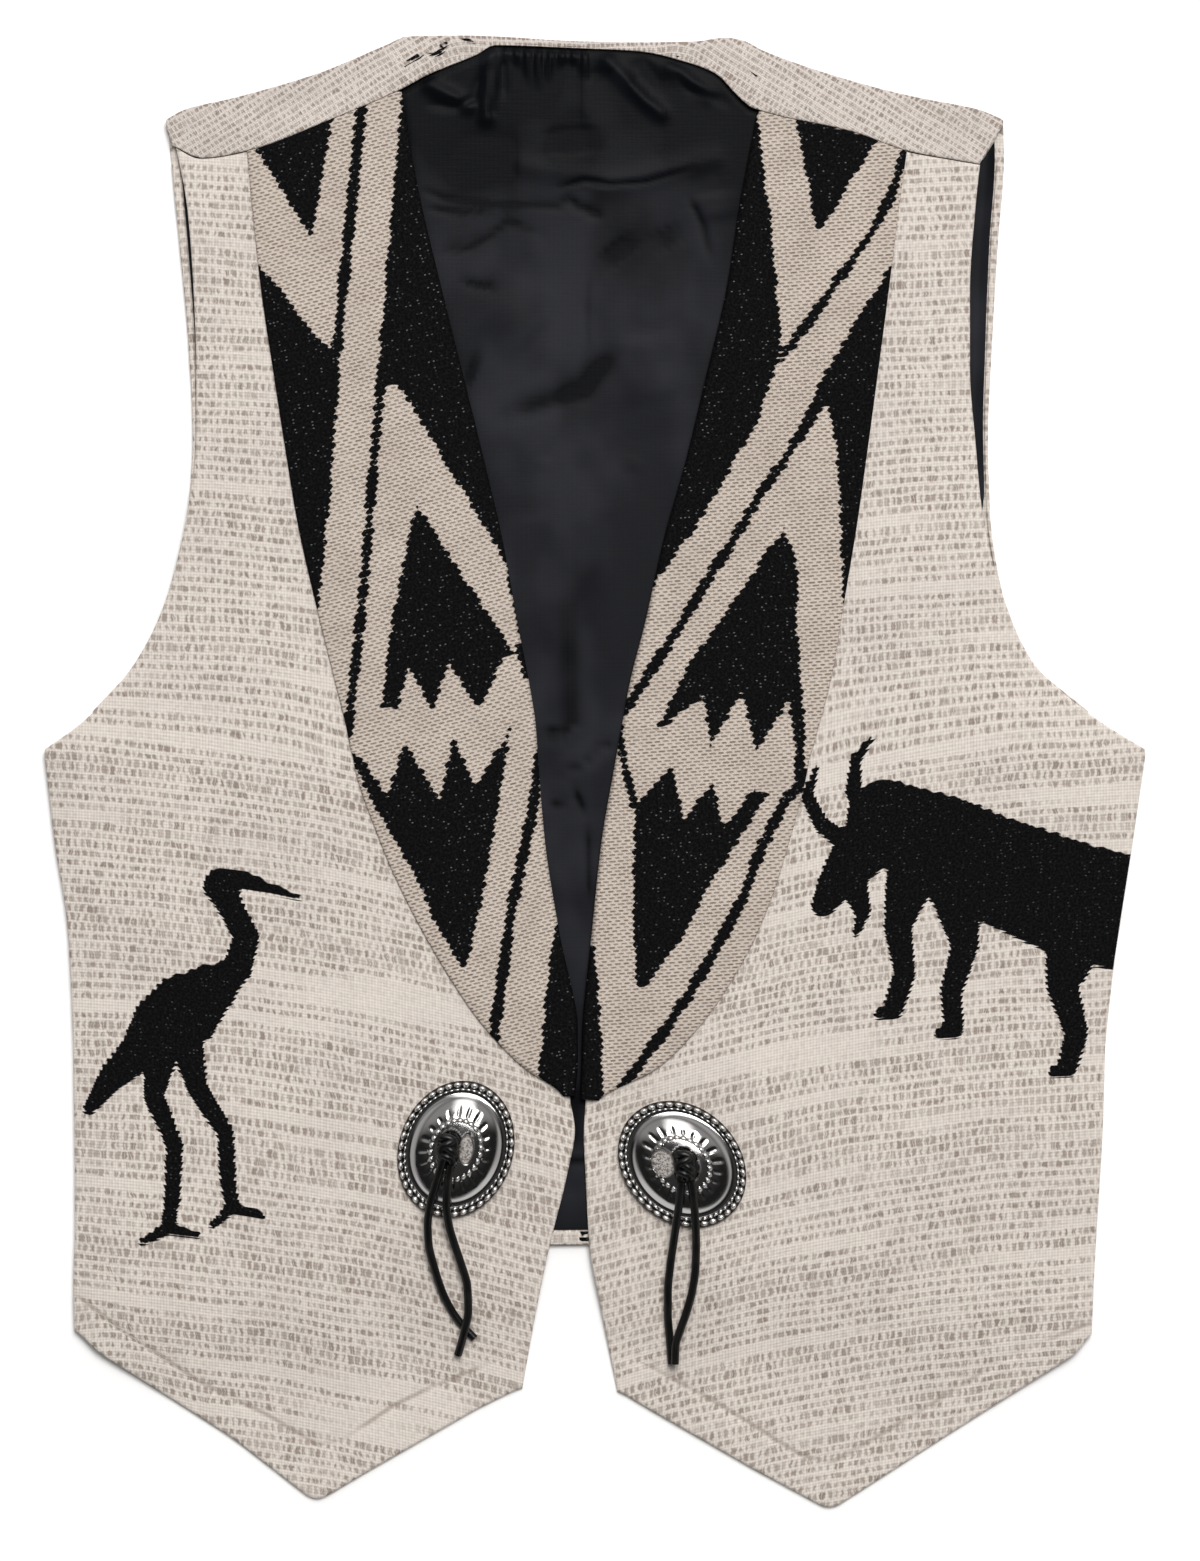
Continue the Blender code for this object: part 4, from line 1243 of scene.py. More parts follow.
@dataclass
class ClothWall:
    """A closed wall of cloth between two grids of points, with its thread map and its marks."""

    name: str
    under: np.ndarray
    over: np.ndarray
    thread: np.ndarray
    marks: dict = field(default_factory=dict)

    def build(self, finish: bpy.types.Material) -> bpy.types.Object:
        """Makes the wall as one smooth-shaded object.

        Args:
            finish: the material that it wears.

        Returns:
            The object, whose mesh has a UV map named thread and one attribute for each mark.
        """
        rows, columns = self.under.shape[:2]
        form = bmesh.new()
        bmesh.ops.create_grid(form, x_segments=columns - 1, y_segments=rows - 1, size=1.0)
        order = form.verts.layers.int.new("order")
        top = form.verts.layers.int.new("top")
        for vert in form.verts:
            vert[order] = vert.index
        grown = bmesh.ops.extrude_face_region(form, geom=form.faces[:])
        upper = [item for item in grown["geom"] if isinstance(item, bmesh.types.BMVert)]
        for vert in upper:
            vert[top] = 1
        bmesh.ops.translate(form, verts=upper, vec=Vector((0.0, 0.0, 1.0)))
        bmesh.ops.recalc_face_normals(form, faces=form.faces[:])
        if self.is_mirrored():
            bmesh.ops.reverse_faces(form, faces=form.faces[:])
        mesh = meshed(form, self.name)
        self.place(mesh)
        mesh.shade_smooth()
        mesh.materials.append(finish)
        return placed(self.name, mesh)

    def is_mirrored(self) -> bool:
        """Whether rows, columns and the way up are left-handed together."""
        row, column = (size // 2 for size in self.under.shape[:2])
        across = self.under[row, column] - self.under[row, column - 1]
        down = self.under[row, column] - self.under[row - 1, column]
        up = self.over[row, column] - self.under[row, column]
        return float(np.dot(np.cross(across, down), up)) < 0

    def place(self, mesh: bpy.types.Mesh) -> None:
        """Moves the mesh's points to the grids, and writes the thread map and the marks.

        Args:
            mesh: the mesh, whose points carry their order and whether they are on top.
        """
        count = len(mesh.vertices)
        order = np.empty(count, np.int32)
        top = np.empty(count, np.int32)
        mesh.attributes["order"].data.foreach_get("value", order)
        mesh.attributes["top"].data.foreach_get("value", top)
        low = self.under.reshape(-1, 3)[order]
        high = self.over.reshape(-1, 3)[order]
        points = np.where(top[:, None] == 1, high, low) * MM
        mesh.vertices.foreach_set("co", points.astype(np.float32).ravel())
        corners = np.empty(len(mesh.loops), np.int32)
        mesh.loops.foreach_get("vertex_index", corners)
        thread = self.thread.reshape(-1, 2)[order][corners]
        uv_map = mesh.uv_layers.new(name="thread")
        uv_map.data.foreach_set("uv", thread.astype(np.float32).ravel())
        for name, values in self.marks.items():
            mark = mesh.attributes.new(name, "FLOAT", "POINT")
            mark.data.foreach_set("value", values.reshape(-1)[order].astype(np.float32))
        for name in ("order", "top"):
            mesh.attributes.remove(mesh.attributes[name])
        mesh.update()


def turned(under: np.ndarray, over: np.ndarray, share: Places) -> tuple[np.ndarray, np.ndarray]:
    """Rounds a wall's edges: both faces draw together where the share of its thickness falls.

    Args:
        under: the lower face.
        over: the upper face.
        share: the share that is left.

    Returns:
        Both faces, changed.
    """
    wall = over[..., 2] - under[..., 2]
    missing = wall * (1 - share)
    under = under.copy()
    over = over.copy()
    under[..., 2] += 0.25 * missing
    over[..., 2] -= 0.75 * missing
    return under, over


@dataclass
class VestFront:
    """A front panel with its pointed hem, on the lining and the back."""

    side: Side
    spacing: float = 2.1
    steps: int = 400
    seam_run: float = 2.0
    hem_power: float = 1.6
    side_run: float = 1.2
    fullness_run: float = 4.0
    ripple: float = 0.30
    ripple_run: float = 3.0
    calm_edge: float = 0.06
    width: float = 215.0
    weft_angle: float = 2.5
    weft_fall: float = 0.245
    weft_power: float = 2.1
    weft_gain: float = 1.2
    slack: float = 0.25
    slack_y: float = -60.0
    slack_run: float = 160.0
    low_fall: float = 0.045
    low_y: float = -110.0
    low_run: float = 120.0
    corner_fall: float = 0.2
    corner_width: float = 60.0
    line_fade: float = 7.0
    flat: tuple = (0.232, 0.612)
    area: float = 0.1075

    def plan(self, across: Places, down: Places) -> tuple[np.ndarray, np.ndarray]:
        """Plan of the front: across is 0 at its outer edge and 1 at its inner, down counts sections."""
        sections = FRONT_SECTIONS[self.side]
        edge = {name: smooth_to_corner([getattr(s, name) for s in sections], down, PIT_SECTION)
                for name in Section._fields}
        x = between(edge["outer_x"], edge["inner_x"], across)
        y = between(edge["outer_y"], edge["inner_y"], across)
        first, last = sections[0], sections[-1]
        top_x = between(first.outer_x, first.inner_x, across)
        top_y = between(first.outer_y, first.inner_y, across)
        y = y + (seam_y(top_x) - SEAM_GAP - top_y) * (1 - ease(down / self.seam_run))
        low_x = between(last.outer_x, last.inner_x, across)
        low_y = between(last.outer_y, last.inner_y, across)
        hem = sorted(HEM_POINTS[self.side])
        hem_x, hem_y = [p[0] for p in hem], [p[1] for p in hem]
        shape = np.mean([np.interp(low_x + move, hem_x, hem_y) for move in HEM_SOFTENING], axis=0)
        shape = shape - low_y
        reach = np.clip((down - HEM_SHAPE_SECTION) / (len(sections) - 1 - HEM_SHAPE_SECTION), 0, 1)
        return x, y + shape * reach ** self.hem_power

    def turn_line(self, x: Places) -> np.ndarray:
        """Height in plan of the line where the hem is turned."""
        line = sorted(FRONT_CREASES[self.side][0].points)
        return np.interp(x, [p[0] for p in line], [p[1] for p in line])

    def hem_rise(self, x: Places, y: Places) -> np.ndarray:
        """How far the turned hem lifts the upper face below its line."""
        return HEM_TURN_RISE * ease((self.turn_line(x) - y) / HEM_TURN_RUN)

    def under(self, across: Places, down: Places) -> np.ndarray:
        """Height of the lower face: on the lining, on the back at the side, flat past the hem."""
        x, y = self.plan(across, down)
        outer_x, _ = self.plan(0.0 * across, down)
        inward = np.abs(x - outer_x)
        low = ease((down - PIT_SECTION + self.side_run / 2) / self.side_run)
        at_side = low * (1 - ease(inward / SIDE_ROUNDING))
        rest = FRONT_REST - (FRONT_REST - SIDE_REST) * at_side
        past = back_hem_y(x) - y
        dropped = ease((past - HEM_DROP_START) / (HEM_DROP_END - HEM_DROP_START))
        flattened = ease((past - FULLNESS_DROP_START) / (FULLNESS_DROP_END - FULLNESS_DROP_START))
        fullness = (1 - np.abs(2 * across - 1) ** 3) * ease(down / self.fullness_run)
        return rest * (1 - dropped) + FRONT_FULLNESS * fullness * (1 - flattened)

    def over(self, across: Places, down: Places) -> np.ndarray:
        """Height of the upper face, with its creases and slow waves."""
        x, y = self.plan(across, down)
        base = self.under(across, down) + FRONT_WALL
        calm = ease(across / self.calm_edge) * ease((1 - across) / self.calm_edge)
        ripple = self.ripple * waves(x, y) * calm * ease(down / self.ripple_run)
        return base + self.hem_rise(x, y) + relief(x, y, FRONT_CREASES[self.side]) + ripple

    def rows(self, end: float, spacing: float) -> np.ndarray:
        """Places down the front, in sections, at even steps along its middle.

        Args:
            end: the last section.
            spacing: the step.

        Returns:
            The places, as one column.
        """
        fine = np.linspace(0.0, end, self.steps)
        x, y = self.plan(np.full_like(fine, 0.5), fine)
        run = np.concatenate([[0.0], np.cumsum(np.hypot(np.diff(x), np.diff(y)))])
        return np.interp(edged(run[-1], spacing), run, fine)[:, None]

    def thread(self, x: Places, y: Places, outer_x: Places) -> np.ndarray:
        """Thread map: the weft falls toward the lapel, more so near it.

        Args:
            x: places across.
            y: places up.
            outer_x: X of the outer edge in each row.

        Returns:
            Places across and along the threads.
        """
        inward = np.abs(x - outer_x)
        bend = (inward / self.width) ** self.weft_power / self.weft_power
        slack = 1 - self.slack * ease((self.slack_y - y) / self.slack_run)
        drop = inward * math.tan(math.radians(self.weft_angle))
        drop = drop + self.width * self.weft_fall * self.weft_gain * bend
        drop = drop * slack + inward * self.low_fall * ease((self.low_y - y) / self.low_run)
        if self.side is Side.LEFT:
            turned_part = ease((self.turn_line(x) - y) / HEM_TURN_RUN)
            corner = turned_part * (1 - ease(inward / self.corner_width))
            drop = drop - self.corner_fall * inward * corner
        return np.stack([x, y + drop], axis=-1)

    def motif(self, x: Places, y: Places) -> np.ndarray:
        """How far a place lies inside the animal worked on this front."""
        inside = [inside_stroke(x, y, stroke) for stroke in ANIMALS[self.side]]
        return np.clip(np.max(inside, axis=0), -MARK_REACH, MARK_REACH)

    def press(self, x: Places, y: Places) -> np.ndarray:
        """How far a place lies below the line of the turned hem, which places the painted shadow along
        that line.
        """
        line = sorted(FRONT_CREASES[self.side][0].points)
        away, _, _ = to_segments(x, y, line)
        seen_end = line[-2][0] if self.side is Side.LEFT else line[1][0]
        past_end = (x - seen_end) * self.side.toward_neck
        away = away + MARK_REACH * ease(past_end / self.line_fade)
        signed = np.where(y < self.turn_line(x), away, -away)
        return np.clip(signed, -MARK_REACH, MARK_REACH)

    def build(self) -> bpy.types.Object:
        """Makes the front and dresses it.

        Returns:
            The finished piece.
        """
        down = self.rows(len(FRONT_SECTIONS[self.side]) - 1, self.spacing)
        outer_x, outer_y = self.plan(np.zeros_like(down), down)
        inner_x, inner_y = self.plan(np.ones_like(down), down)
        width = np.hypot(inner_x - outer_x, inner_y - outer_y)
        places = edged(float(width.max()), self.spacing) / float(width.max())
        number = len(EDGE_OFFSETS)
        across = np.repeat(places[None, :], len(down), axis=0)
        across[:, :number] = EDGE_OFFSETS[None, :] / width
        across[:, -number:] = 1 - EDGE_OFFSETS[None, ::-1] / width
        inner = np.linspace(0.0, 1.0, across.shape[1] - 2 * number + 2)[None, :]
        low, high = across[:, number - 1:number], across[:, -number:across.shape[1] - number + 1]
        across[:, number - 1:across.shape[1] - number + 1] = low + inner * (high - low)
        x, y = self.plan(across, down)
        under = stacked(x, y, self.under(across, down))
        over = stacked(x, y, self.over(across, down))
        top_away = np.abs(y - y[:1])
        hem_away = np.abs(y - y[-1:])
        away = np.minimum(np.minimum(across, 1 - across) * width, np.minimum(top_away, hem_away))
        under, over = turned(under, over, lip(away))
        name = "front_" + self.side.value + "_cloth"
        marks = {"motif": self.motif(x, y), "press": self.press(x, y), "dense": np.zeros_like(x)}
        wall = ClothWall(name, under, over, self.thread(x, y, outer_x), marks)
        return wall.build(BodyCloth().material(name, patterned=True))


@dataclass
class ShawlLapel:
    """A shawl lapel on its front, with a rolled inner edge and a free outer edge."""

    side: Side
    front: VestFront
    spacing: float = 1.6
    edge_wall: float = 1.4
    spring: float = 0.9
    roll_width: float = 2.3
    roll_clearance: float = 0.6
    roll_lip: float = 0.8
    roll_steps: int = 7
    roll_wall: float = 1.0
    row_slant: float = 14.0
    right_slant: float = 0.35
    mark_reach: float = 5.0
    edge_share: float = 0.4
    edge_run: float = 0.12
    spring_rate: float = 1.4
    spring_run: float = 3.0
    flat: tuple = (0.100, 0.455)
    area: float = 0.0335

    def motif(self, x: Places, y: Places) -> np.ndarray:
        """How far a place lies inside the black inlay."""
        inside = [inside_outline(x, y, shape) for shape in LAPEL_SHAPES[self.side]]
        inside += [inside_line(x, y, half, line) for half, line in LAPEL_LINES[self.side]]
        return np.clip(np.max(inside, axis=0), -self.mark_reach, self.mark_reach)

    def thread(self, x: Places, y: Places) -> np.ndarray:
        """Thread map: stitch rows rise to the right, less so on the right lapel."""
        gentler = 1.0 if self.side is Side.LEFT else self.right_slant
        angle = math.radians(self.row_slant * gentler)
        u = x * math.cos(angle) + y * math.sin(angle)
        v = y * math.cos(angle) - x * math.sin(angle)
        return np.stack([u, v], axis=-1)

    def build(self) -> bpy.types.Object:
        """Makes the lapel from its front's points, moved out, and dresses it.

        Returns:
            The finished piece.
        """
        down = self.front.rows(LAPEL_END_SECTION, self.spacing)
        sections = FRONT_SECTIONS[self.side]
        free_x = smooth(np.arange(len(sections)), [s.lapel_x for s in sections], down)
        outer_x, _ = self.front.plan(np.zeros_like(down), down)
        inner_x, _ = self.front.plan(np.ones_like(down), down)
        first = (free_x - outer_x) / (inner_x - outer_x)
        width = np.abs(inner_x - free_x)
        number = len(EDGE_OFFSETS)
        count = int(width.max() / self.spacing)
        start = np.minimum(EDGE_OFFSETS[None, :] / width, np.linspace(0, self.edge_share, number))
        rest = np.linspace(0.0, 1.0, count)[None, 1:]
        share = np.hstack([start, start[:, -1:] + rest * (1 - start[:, -1:])])
        across = first + (1 - first) * share
        x, y = self.front.plan(across, down)
        ground = self.front.over(across, down)
        risen = ease(share * self.spring_rate) * ease(down / self.spring_run)
        lifted = SEAM_GAP + self.spring * risen
        low = ground + lifted
        wall = between(self.edge_wall, LAPEL_WALL, ease(share / self.edge_run))
        high = low + wall * lip(share * width)
        end_away = np.abs(y - y[-1:])
        high = low + (high - low) * lip(end_away)
        under, over = stacked(x, y, low), stacked(x, y, high)
        under, over = self.roll(under, over)
        x, y = over[..., 0], over[..., 1]
        name = "lapel_" + self.side.value + "_cloth"
        wall = ClothWall(name, under, over, self.thread(x, y), {"motif": self.motif(x, y)})
        return wall.build(LapelCloth().material(name))

    def roll(self, under: np.ndarray, over: np.ndarray) -> tuple[np.ndarray, np.ndarray]:
        """Adds the rolled edge past the front's inner edge to both faces.

        Args:
            under: the lower face.
            over: the upper face.

        Returns:
            Both faces with their new columns.
        """
        floor = FRONT_REST + self.roll_clearance
        toward_neck = self.side.toward_neck
        under_columns = [under]
        over_columns = [over]
        for turn in np.linspace(0.0, math.pi / 2, self.roll_steps)[1:]:
            for columns, edge, reach, end in (
                    (under_columns, under[:, -1:], self.roll_width - self.roll_wall, floor),
                    (over_columns, over[:, -1:], self.roll_width, floor + self.roll_lip)):
                x = edge[..., 0] + toward_neck * reach * math.sin(turn)
                z = end + (edge[..., 2] - end) * math.cos(turn)
                columns.append(stacked(x, edge[..., 1], z))
        return np.hstack(under_columns), np.hstack(over_columns)


@dataclass
class VestBack:
    """The back, flat below, folded over the shoulders and the neck onto its own top."""

    columns_spacing: float = 3.0
    rows_spacing: float = 3.4
    fold_steps: int = 11
    strip_steps: int = 12
    weft_angle: float = 32.0
    strip_scale: float = 1.4
    # Density of the strips' marks, which also paints shade on their ground, and the extra painted shade
    # on the outer side of the fold
    strip_dense_and_shade: float = 0.85
    fold_painted_shade: float = 1.7
    fold_room: float = 7.4
    end_reach: float = 9.0
    strip_ends: tuple = (3.0, 1.7, 1.0, 0.4, 0.0)
    strip_last: tuple = (0.94, 0.97, 0.99, 1.0)
    ripple: float = 0.22
    ripple_x: float = 1.7
    ripple_y: float = 2.1
    left_turn_x: float = 75.0
    right_turn_x: float = 25.0
    turn_run: float = 30.0
    left_pivot_x: float = -60.0
    right_pivot_x: float = 40.0
    pivot_y: float = 306.0
    flat: tuple = (0.475, 0.560)
    area: float = 0.222

    def build(self) -> bpy.types.Object:
        """Makes the back and dresses it.

        Returns:
            The finished piece.
        """
        ends = SHOULDERS[0].fold_x, SHOULDERS[-1].fold_x
        fold_x = (ends[0] + edged(ends[1] - ends[0], self.columns_spacing))[None, :]
        across = (fold_x - ends[0]) / (ends[1] - ends[0])
        column = {name: smooth([s.fold_x for s in SHOULDERS], [getattr(s, name) for s in SHOULDERS],
                               fold_x) for name in Shoulder._fields}
        rows = self.body_rows()
        edge = {name: smooth_to_corner([getattr(e, name) for e in BACK_EDGES], rows, BACK_PIT_ROW)
                for name in Edge._fields}
        x = between(edge["left_x"], edge["right_x"], across)
        y = edge["y"] + np.zeros_like(x)
        top = BACK_EDGES[0].y
        shoulder_share = ease((y - SHOULDER_SHAPE_Y) / (top - SHOULDER_SHAPE_Y))
        hem_share = 1 - ease((y - BACK_HEM_SIDE_Y) / HEM_SHAPE_RUN)
        y = y + (column["fold_y"] - top) * shoulder_share + (back_hem_y(x) - BACK_HEM_SIDE_Y) * hem_share
        under = [stacked(x, y, 0.0)]
        over = [stacked(x, y, BACK_WALL)]
        self.add_fold(under, over, fold_x, column)
        under, over = np.vstack(under), np.vstack(over)
        side_away = np.minimum(fold_x - ends[0], ends[1] - fold_x) + np.zeros(under.shape[:2])
        end_away = np.minimum(np.abs(under[..., 1] - under[:1, :, 1]), self.end_reach)
        end_away[len(x):] = self.end_reach
        end_away[-len(self.strip_ends):] = np.array(self.strip_ends)[:, None]
        share = lip(np.minimum(side_away, end_away))
        middle = 0.5 * (under + over)
        under = middle + (under - middle) * share[..., None]
        over = middle + (over - middle) * share[..., None]
        thread, motif = self.dressing(under, len(x))
        dense = np.zeros_like(motif)
        # The strips get dense marks and painted shade on their ground; the outer side of the fold gets
        # more painted shade, with stronger marks
        dense[len(x):] = self.strip_dense_and_shade
        turns = np.radians(np.linspace(-90.0, 90.0, self.fold_steps))[:, None]
        dense[len(x):len(x) + self.fold_steps] += self.fold_painted_shade * np.cos(turns)
        marks = {"motif": motif, "press": np.full_like(motif, MARK_REACH), "dense": dense}
        wall = ClothWall("back_cloth", under, over, thread, marks)
        return wall.build(BodyCloth().material("back_cloth", patterned=True))

    def body_rows(self) -> np.ndarray:
        """Places down the back, in its edges' numbers, from the hem to below the fold.

        Returns:
            The places, as one column.
        """
        heights = np.array([e.y for e in BACK_EDGES])
        length = float(heights[0] - heights[-1])
        count = int(length / self.rows_spacing)
        middle = np.linspace(EDGE_OFFSETS[-1], length - self.fold_room, count)
        places = np.concatenate([EDGE_OFFSETS[:-1], middle])
        return np.interp(heights[-1] + places, heights[::-1],
                         np.arange(len(heights))[::-1])[:, None]

    def add_fold(self, under: list, over: list, fold_x: np.ndarray, column: dict) -> None:
        """Adds the rows of the fold and of the carried-over strip to both faces.

        Args:
            under: the rows of the outer face.
            over: the rows of the inner face.
            fold_x: X of each column at the fold.
            column: the shoulder's measures in each column.
        """
        radius = column["fold_height"] / 2
        for turn in np.radians(np.linspace(-90.0, 90.0, self.fold_steps)):
            for grid, reach in ((under, radius), (over, radius - BACK_WALL)):
                bend_y = column["fold_y"] - radius + reach * math.cos(turn)
                grid.append(stacked(fold_x, bend_y, radius + reach * math.sin(turn)))
        start_y = column["fold_y"] - radius
        shares = list(np.linspace(0.0, 1.0, self.strip_steps)[1:-1]) + list(self.strip_last)
        for share in shares:
            x = between(fold_x, column["edge_x"], share)
            y = between(start_y, column["edge_y"], share)
            height = between(column["fold_height"], column["edge_height"], share)
            ripple = self.ripple * waves(self.ripple_x * x, self.ripple_y * y)
            height = height + ripple * min(share, 1 - share) * 4
            fade = ease(share / CREASE_FADE) * ease((1 - share) / CREASE_FADE)
            height = height + relief(x, y, STRIP_CREASES) * fade
            under.append(stacked(x, y, height))
            over.append(stacked(x, y, height - BACK_WALL))

    def dressing(self, points: np.ndarray, flat_rows: int) -> tuple[np.ndarray, np.ndarray]:
        """Thread map and motif: the weft of the strips rises toward the neck.

        Args:
            points: the outer face.
            flat_rows: how many rows lie below the fold.

        Returns:
            The thread map, and the distance in from the black marks.
        """
        x, y = points[..., 0], points[..., 1]
        left_turn = 1 - ease((x + self.left_turn_x) / self.turn_run)
        turn = left_turn - ease((x - self.right_turn_x) / self.turn_run)
        lean = np.radians(self.weft_angle) * turn
        pivot_x = np.where(x < 0.0, self.left_pivot_x, self.right_pivot_x)
        u = pivot_x + (x - pivot_x) * np.cos(lean) + (y - self.pivot_y) * np.sin(lean)
        v = (y - self.pivot_y) * np.cos(lean) - (x - pivot_x) * np.sin(lean)
        in_strip = np.arange(len(x))[:, None] >= flat_rows
        u = np.where(in_strip, self.strip_scale * u, x)
        v = np.where(in_strip, self.strip_scale * v, y)
        inside = np.max([inside_stroke(x, y, mark) for mark in STRIP_MARKS], axis=0)
        inside[:flat_rows] = -MARK_REACH
        return np.stack([u, v], axis=-1), np.clip(inside, -MARK_REACH, MARK_REACH)


@dataclass
class BackLining:
    """The back's lining, gathered at the neck and folded between the lapels."""

    tuck: float = 1.4
    armhole_inset: float = 0.8
    side_inset: float = 17.0
    armhole_y: float = 125.0
    side_y: float = 60.0
    neck_left: float = -82.0
    neck_right: float = 68.0
    hem_width: float = 6.5
    corner_x: float = 166.0
    corner_run: float = 6.0
    corner_rise: float = 8.5
    corner_fade: float = 12.0
    left_columns: tuple = (-178.0, -92.0, 10)
    middle_columns: tuple = (-86.0, 72.5, 1.45)
    right_columns: tuple = (78.0, 161.5, 9)
    corner_columns: tuple = (167.0, 172.0)
    fine_drops: tuple = (0.0, 66.0, 1.25)
    wide_drops: tuple = (67.0, 208.0, 2.6)
    low_levels: tuple = (22.0, -185.0, -3.2)
    level_gap: float = 2.0
    softness: float = 0.35
    soft_scale: float = 1.3
    # Where the painted shade near the neck starts and how far down it runs, and where the painted shade
    # between gathers ends
    dark_start_y: float = 205.0
    dark_run: float = 80.0
    dark_end_x: float = 30.0
    shown_run: float = 5.0
    flat: tuple = (0.440, 0.530)
    area: float = 0.186

    def columns(self) -> np.ndarray:
        """Places of the columns along the neck: close between the lapels, wide under the fronts."""
        left = np.linspace(*self.left_columns)
        middle = np.arange(*self.middle_columns)
        right = np.append(np.linspace(*self.right_columns), self.corner_columns)
        return np.concatenate([left, middle, right])[None, :]

    def drops(self) -> np.ndarray:
        """How far below the neck the upper rows lie."""
        return np.concatenate([np.arange(*self.fine_drops), np.arange(*self.wide_drops)])

    def uneven(self, x: Places) -> np.ndarray:
        """How unlike the gathers are along the neck, from -1 to 1."""
        return np.sin(x / 4.1 + 1.0)

    def raised(self, x: Places, y: Places) -> np.ndarray:
        """How far the lining stands up from its gathers, folds and wrinkles."""
        big = np.zeros(np.broadcast(x, y).shape)
        for fold in LINING_FOLDS:
            away, _, share = to_segments(x, y, [(fold.x, fold.y), (fold.end_x, fold.end_y)])
            ridge = fold.height * np.exp(-(away / (0.5 * fold.width)) ** 2)
            big = np.maximum(big, ridge * (0.45 + 0.55 * np.sin(math.pi * (0.15 + 0.7 * share))))
        pitch = (GATHER_RIGHT_X - GATHER_LEFT_X) / GATHERS
        drift = GATHER_DRIFT * np.sin(y / GATHER_DRIFT_RUN + x / 9.0)
        wave = 0.5 - 0.5 * np.cos(TAU * (x + drift - GATHER_LEFT_X) / pitch)
        wave = wave * ((x > GATHER_LEFT_X) & (x < GATHER_RIGHT_X))
        uneven = 0.6 + 0.4 * self.uneven(x)
        below_neck = seam_y(x) - y
        start = ease((below_neck - GATHER_START) / GATHER_RUN)
        run = 1 - ease((below_neck - GATHER_START - GATHER_RUN) / (GATHER_LENGTH * uneven))
        small = relief(x, y, LINING_WRINKLES + LINING_HOLLOWS + LINING_SWELLS)
        soft = self.softness * (waves(self.soft_scale * x, self.soft_scale * y) + 1)
        raised = np.maximum(big, GATHER_HEIGHT * wave * run) + (small + soft) * self.shown(x, y)
        return start * np.maximum(raised, 0.0)

    def shade(self, x: Places, y: Places) -> np.ndarray:
        """How much painted shade the satin gets: in its creases and hollows, between gathers, and near
        the neck.
        """
        creases = np.clip(-relief(x, y, LINING_WRINKLES), 0.0, 1.0)
        hollows = np.clip(-relief(x, y, LINING_HOLLOWS), 0.0, 1.0)
        pitch = (GATHER_RIGHT_X - GATHER_LEFT_X) / GATHERS
        drift = GATHER_DRIFT * np.sin(y / GATHER_DRIFT_RUN)
        wave = 0.5 + 0.5 * np.cos(TAU * (x - GATHER_LEFT_X) / pitch + drift)
        below_neck = seam_y(x) - y
        reach = 9.0 + 5.0 * self.uneven(x)
        gathered = (x > GATHER_LEFT_X) & (x < self.dark_end_x)
        gathers = wave * (1 - ease(below_neck / reach)) * gathered
        # Painted shade that darkens the top of the lining toward the neck
        high = ease((y - self.dark_start_y) / self.dark_run) * (0.85 + 0.25 * waves(0.9 * x, 0.9 * y))
        return np.clip(0.95 * creases + 0.85 * hollows + 0.8 * gathers + high, 0.0, 1.0)

    def shown(self, x: Places, y: Places) -> np.ndarray:
        """1 between the lapels and 0 under them, with a soft step."""
        inner = {}
        for side in Side:
            sections = FRONT_SECTIONS[side][::-1]
            inner[side] = np.interp(y, [s.inner_y for s in sections], [s.inner_x for s in sections])
        from_left = x - inner[Side.LEFT]
        from_right = inner[Side.RIGHT] - x
        return ease((np.minimum(from_left, from_right) + 1.0) / self.shown_run)

    def build(self) -> bpy.types.Object:
        """Makes the lining and dresses it.

        Returns:
            The finished piece.
        """
        top_x = self.columns()
        corner = self.corner_rise * ease((top_x - self.corner_x) / self.corner_run)
        rows = [seam_y(top_x) + self.tuck + corner * np.exp(-drop / self.corner_fade) - drop
                for drop in self.drops()]
        last = float(rows[-1].min())
        rows += [np.full_like(top_x, level) for level in np.arange(*self.low_levels)
                 if level < last - self.level_gap]
        rows += [back_hem_y(top_x) + self.hem_width + SEAM_GAP]
        y = np.vstack(rows)
        low = ease((self.armhole_y - y) / (self.armhole_y - self.side_y))
        facing = ArmholeFacing(Side.LEFT).width(y)
        inset = (facing + self.armhole_inset) * (1 - low) + self.side_inset * low
        left_move = back_edge(Side.LEFT, y) + inset - top_x[0, 0]
        right_move = back_edge(Side.RIGHT, y) - inset - top_x[0, -1]
        from_left = (top_x - self.neck_left) / (top_x[0, 0] - self.neck_left)
        from_right = (top_x - self.neck_right) / (top_x[0, -1] - self.neck_right)
        x = top_x + np.clip(from_left, 0, 1) * left_move + np.clip(from_right, 0, 1) * right_move
        z = LINING_UNDER + self.raised(x, y)
        under, over = stacked(x, y, z), stacked(x, y, z + LINING_WALL)
        marks = {"shade": self.shade(x, y)}
        wall = ClothWall("back_lining_cloth", under, over, over[..., :2], marks)
        return wall.build(Satin().material("back_lining_cloth"))


